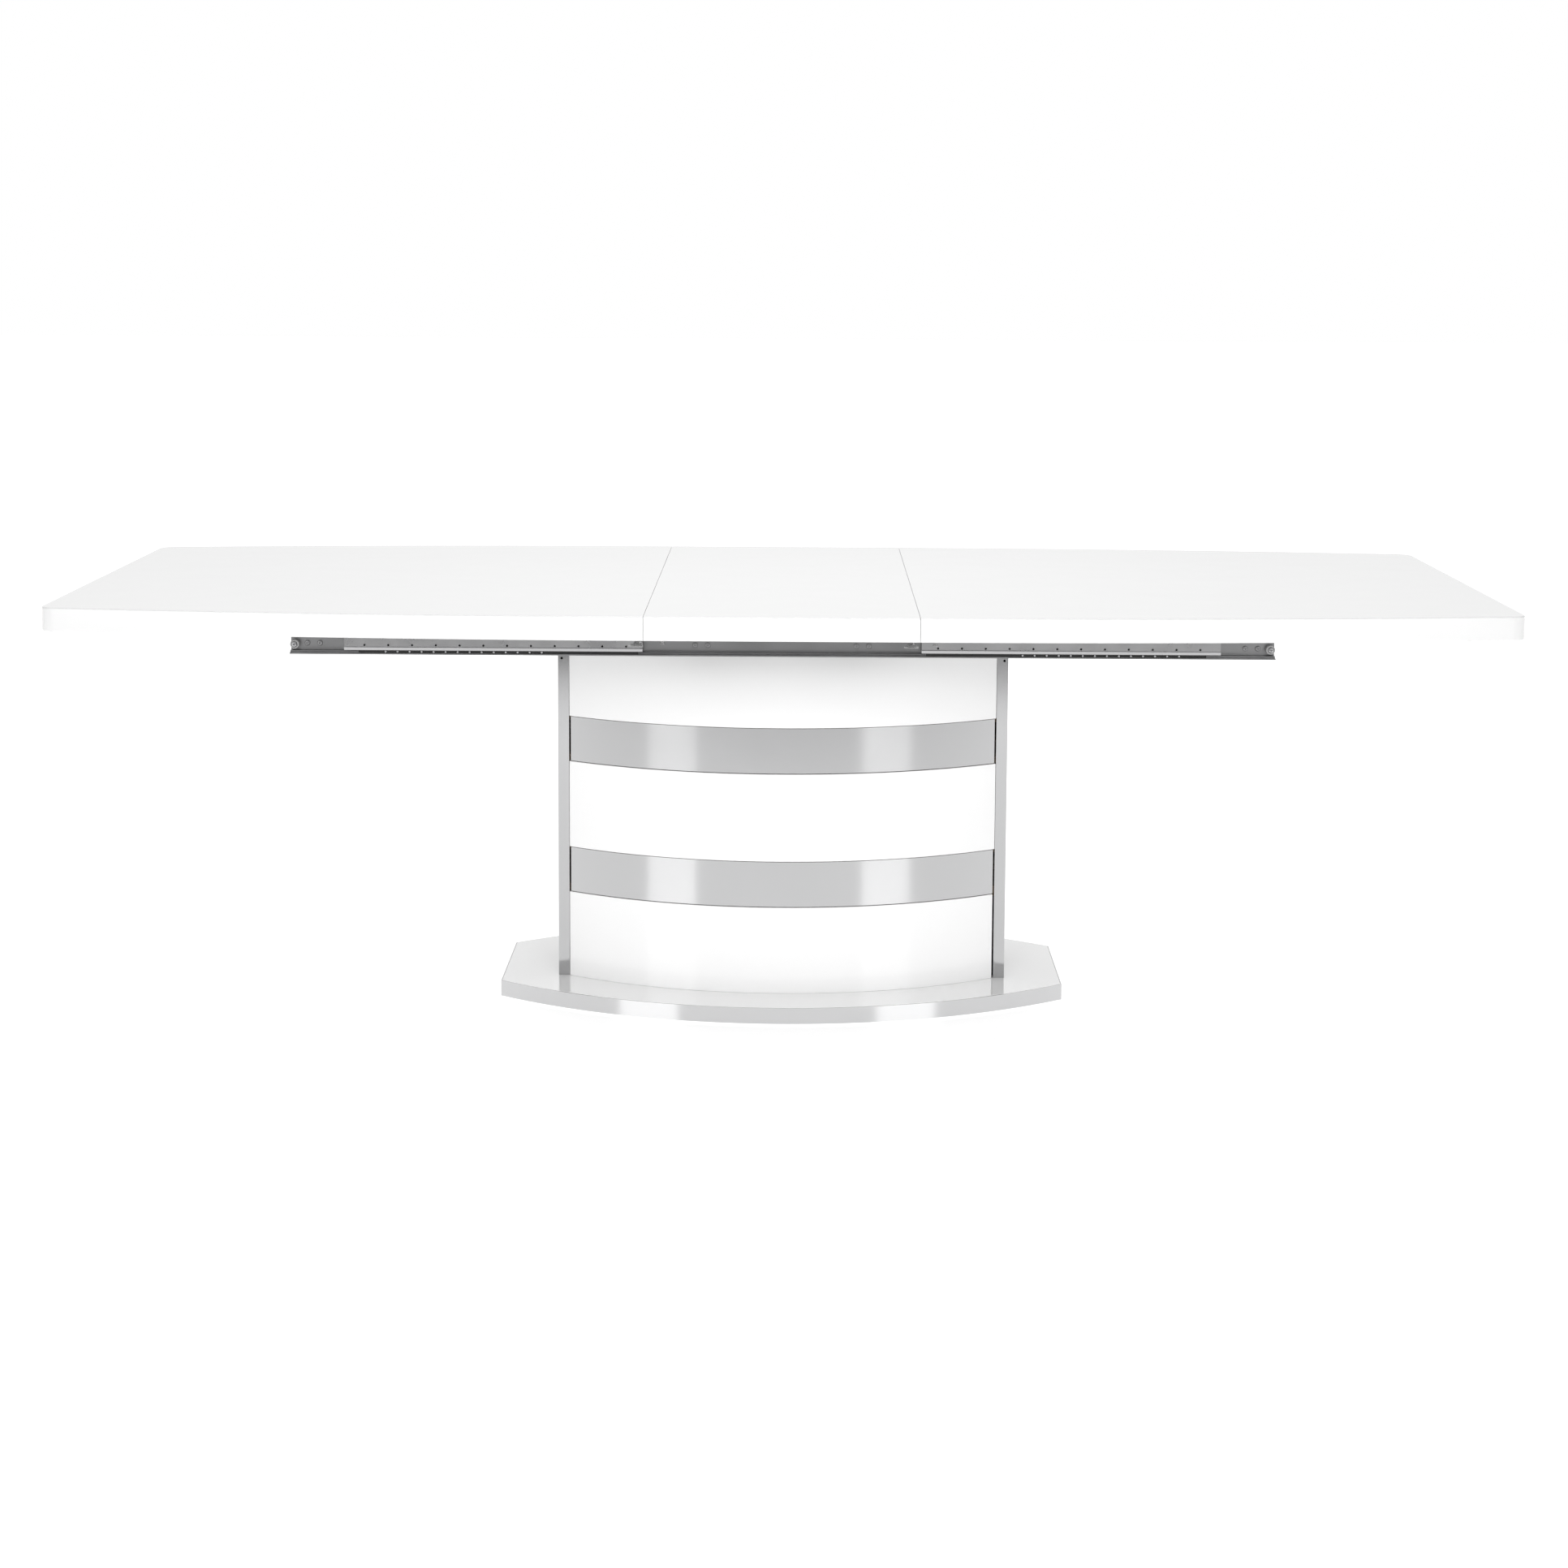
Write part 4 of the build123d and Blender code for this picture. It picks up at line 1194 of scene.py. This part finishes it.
    def _bumper(self, radius: float, depth: float) -> bpy.types.Object:
        """Turn one bumper with a groove in its face and a bore for its bolt.

        Args:
            radius: Its outer radius.
            depth: How far it stands off the rail.

        Returns:
            The bumper as a template.
        """
        rim = ((0.94, 0.0), (1.0, 0.08), (1.0, 0.88), (0.97, 0.96), (0.9, 1.0))
        groove = ((0.74, 1.0), (0.7, 0.86), (0.62, 0.86), (0.58, 1.0))
        face = [(radius * out, depth * up) for out, up in rim + groove]
        bore = self.bumper_bore
        bm = lathe([(bore, 0.0), *face, (bore, depth), (bore, 0.0)], self.bumper_steps)
        bmesh.ops.remove_doubles(bm, verts=bm.verts, dist=MERGE)
        bmesh.ops.recalc_face_normals(bm, faces=bm.faces)
        return linked("bumper", softened(mesh_from(bm, "bumper"), 0.0))

    def _balls(self, tree: Tree) -> None:
        """Make the steel balls in the cages.

        Args:
            tree: The tree that stands them.
        """
        for end in ENDS:
            node = f"{end}_balls"
            boxes = islands(node)
            spots = [((low + high) / 2, UP) for low, high in boxes]
            radius = (boxes[0][1].x - boxes[0][0].x) / 2
            turns = [math.pi * k / self.ball_rows for k in range(1, self.ball_rows)]
            rows = [(radius * math.sin(t), -radius * math.cos(t)) for t in turns]
            bm = lathe([(0.0, -radius), *rows, (0.0, radius)], self.ball_steps)
            template = linked("ball", softened(mesh_from(bm, "ball"), 0.0))
            mesh = scattered(spots, template, tree)
            tidy_piece(f"{node}_ground", mesh, BRIGHT_STEEL, f"{end}_cages", "bright_fixings", node)


# ---------------------------------------------------------------- studio
@dataclass(frozen=True)
class SoftBox:
    """One rectangular lamp.

    Attributes:
        name: The lamp's name.
        place: Its centre.
        aim: The point that it faces.
        size: Its width and height.
        glow: Its radiance, where 1 is as bright as the surroundings.
        mirrored: Whether shiny surfaces show it.
    """

    name: str
    place: Point3
    aim: Point3
    size: Point2
    glow: float
    mirrored: bool = True

    def stand(self) -> None:
        """Add the lamp to the scene, facing its aim."""
        lamp = bpy.data.lights.new(self.name, "AREA")
        lamp.shape = "RECTANGLE"
        lamp.size, lamp.size_y = self.size
        lamp.energy = self.glow * math.pi * self.size[0] * self.size[1]
        holder = linked(self.name, lamp)
        holder.location = self.place
        towards = Vector(self.aim) - Vector(self.place)
        holder.rotation_euler = towards.to_track_quat("-Z", "Y").to_euler()
        holder.visible_glossy = self.mirrored


LAMPS = (
    SoftBox("left_box", (-2.17, -3.07, 1.12), (0, -0.2, 0.4), (1.05, 1.5), 1.8),
    SoftBox("right_box", (2.04, -3.16, 1.12), (0, -0.2, 0.4), (1.05, 1.5), 1.8),
    SoftBox("front_fill", (0, -4.4, 2.4), (0, -0.3, 0.4), (3.6, 2.0), 4.4, mirrored=False),
    SoftBox("low_fill", (0, -4.0, 0.4), (0, -0.2, 0.5), (2.6, 0.6), 5.2, mirrored=False),
    SoftBox("overhead", (0, -0.1, 2.1), (0, 0, 0), (1.0, 0.8), 2.2),
)


@dataclass
class Studio:
    """A pale floor with a painted shade on the viewer's side, soft lights and the camera.

    Attributes:
        eye: The camera's place.
        yaw: Its turn to the left, in radians.
        pitch: Its turn downwards.
        roll: Its turn about its own axis.
        lens: Its focal length in millimetres, on a sensor this wide.
        sensor: Width of the sensor in millimetres.
        shift: Its shift across and up, as a share of the frame.
        far: Where its view ends.
        zenith: Strength of the surroundings overhead.
        near_side: Their strength on the viewer's side.
        side_level: Their strength far to the left and right.
        height_span: Upward part of a direction over which they dim to the zenith.
        depth_span: Depth part over which they dim towards the viewer.
        side_span: Sideways part over which they dim to the sides.
        floor_half: Half the floor's side.
        floor_painted_shade_span: The two Y places between which the floor's painted shade on the
            viewer's side gives way to its even glow.
        floor_glow: Its own light at those places, none in the painted shade.
        floor_shade: Its base grey at those places, dark in the painted shade.
        floor_shade: Its base grey at those places.
        floor_roughness: Its roughness.
        floor_ior: Its index of refraction.
    """

    eye: Point3 = (0.0271, -4.830, 1.3573)
    yaw: float = 0.0062
    pitch: float = 0.1074
    roll: float = 0.0053
    lens: float = 61.97
    sensor: float = 36.0
    shift: Point2 = (0.001, -0.165)
    far: float = 200.0
    zenith: float = 0.75
    near_side: float = 0.3
    side_level: float = 0.6
    height_span: Point2 = (0.25, 0.9)
    depth_span: Point2 = (-0.8, 0.1)
    side_span: Point2 = (0.45, 0.95)
    floor_half: float = 30.0
    # Where the floor's painted shade on the viewer's side gives way to its even glow.
    floor_painted_shade_span: Point2 = (-4.4, -2.75)
    floor_glow: Point2 = (0.0, 0.75)
    floor_shade: Point2 = (0.06, 0.36)
    floor_roughness: float = 0.12
    floor_ior: float = 2.3

    def build(self) -> None:
        """Set the floor, the surroundings, the lamps and the camera."""
        self._floor()
        self._surroundings()
        for lamp in LAMPS:
            lamp.stand()
        self._camera()
        bpy.context.scene.view_settings.view_transform = "Standard"

    def _floor(self) -> None:
        """Lay a large pale floor that glows evenly round the table, with a painted shade that
        darkens it towards the viewer.
        """
        half = self.floor_half
        corners = [(-half, -half, 0), (half, -half, 0), (half, half, 0), (-half, half, 0)]
        mesh = bpy.data.meshes.new("floor")
        mesh.from_pydata(corners, [], [(0, 1, 2, 3)])
        floor = linked("floor", mesh)
        paint = bpy.data.materials.new("pale_floor")
        paint.use_nodes = True
        tree = paint.node_tree
        shader = next(n for n in tree.nodes if n.type == "BSDF_PRINCIPLED")
        shader.inputs["IOR"].default_value = self.floor_ior
        shader.inputs["Roughness"].default_value = self.floor_roughness
        shader.inputs["Specular IOR Level"].default_value = 0.5
        shader.inputs["Emission Color"].default_value = (1, 1, 1, 1)
        place = tree.nodes.new("ShaderNodeTexCoord")
        split = tree.nodes.new("ShaderNodeSeparateXYZ")
        # Glow and base grey both fall off towards the viewer: a painted shade on the floor, which
        # the metals mirror.
        glow = self._ramp(tree, split.outputs["Y"], self.floor_painted_shade_span, self.floor_glow)
        shade = self._ramp(tree, split.outputs["Y"], self.floor_painted_shade_span, self.floor_shade)
        tree.links.new(place.outputs["Object"], split.inputs["Vector"])
        tree.links.new(glow, shader.inputs["Emission Strength"])
        tree.links.new(shade, shader.inputs["Base Color"])
        mesh.materials.append(paint)

    def _ramp(self, tree: Tree, value: Socket, span: Point2, levels: Point2) -> Socket:
        """Map a value smoothly from one range to another.

        Args:
            tree: The node tree.
            value: The socket that gives the value.
            span: Where the value begins and stops to count.
            levels: The results at those two places.

        Returns:
            The result's socket.
        """
        ramp = tree.nodes.new("ShaderNodeMapRange")
        ramp.interpolation_type = "SMOOTHSTEP"
        ramp.inputs["From Min"].default_value, ramp.inputs["From Max"].default_value = span
        ramp.inputs["To Min"].default_value, ramp.inputs["To Max"].default_value = levels
        tree.links.new(value, ramp.inputs["Value"])
        return ramp.outputs["Result"]

    def _surroundings(self) -> None:
        """Make soft white surroundings, dimmer overhead, sideways and on the viewer's side."""
        world = bpy.data.worlds.new("studio")
        world.use_nodes = True
        bpy.context.scene.world = world
        tree = world.node_tree
        tree.nodes.clear()
        place = tree.nodes.new("ShaderNodeTexCoord")
        split = tree.nodes.new("ShaderNodeSeparateXYZ")
        tree.links.new(place.outputs["Generated"], split.inputs["Vector"])
        height = self._ramp(tree, split.outputs["Z"], self.height_span, (1.0, self.zenith))
        depth = self._ramp(tree, split.outputs["Y"], self.depth_span, (self.near_side, 1.0))
        sideways = tree.nodes.new("ShaderNodeMath")
        sideways.operation = "ABSOLUTE"
        tree.links.new(split.outputs["X"], sideways.inputs[0])
        away = sideways.outputs["Value"]
        width = self._ramp(tree, away, self.side_span, (1.0, self.side_level))
        strength = self._product(tree, self._product(tree, height, depth), width)
        white = tree.nodes.new("ShaderNodeBackground")
        white.inputs["Color"].default_value = (1, 1, 1, 1)
        out = tree.nodes.new("ShaderNodeOutputWorld")
        tree.links.new(strength, white.inputs["Strength"])
        tree.links.new(white.outputs["Background"], out.inputs["Surface"])

    def _product(self, tree: Tree, first: Socket, second: Socket) -> Socket:
        """Multiply two values.

        Args:
            tree: The node tree.
            first: The socket of one value.
            second: The socket of the other.

        Returns:
            The product's socket.
        """
        times = tree.nodes.new("ShaderNodeMath")
        times.operation = "MULTIPLY"
        tree.links.new(first, times.inputs[0])
        tree.links.new(second, times.inputs[1])
        return times.outputs["Value"]

    def _camera(self) -> None:
        """Set the camera by its place, turn and lens."""
        data = bpy.data.cameras.new("camera")
        data.sensor_width = self.sensor
        data.lens = self.lens
        data.shift_x, data.shift_y = self.shift
        data.clip_end = self.far
        camera = linked("camera", data)
        level, drop = math.cos(self.pitch), math.sin(self.pitch)
        ahead = Vector((-math.sin(self.yaw) * level, math.cos(self.yaw) * level, -drop))
        across = Vector((math.cos(self.yaw), math.sin(self.yaw), 0))
        up = across.cross(ahead)
        right = across * math.cos(self.roll) + up * math.sin(self.roll)
        top = up * math.cos(self.roll) - across * math.sin(self.roll)
        turn = Matrix((right, top, -ahead)).transposed().to_4x4()
        camera.matrix_world = Matrix.Translation(self.eye) @ turn
        bpy.context.scene.camera = camera


def write_sizes() -> None:
    """Update the view layer; nothing is written."""
    bpy.context.view_layer.update()


def main() -> None:
    """Build every sub-assembly, then the studio."""
    logging.basicConfig(level=logging.INFO, format="%(message)s")
    for part in (TableTop(), Base(), Column(), Slides(), Hardware(), Fixings(), Studio()):
        part.build()
        log.info("built %s", type(part).__name__)
    write_sizes()


if __name__ == "__main__":
    main()
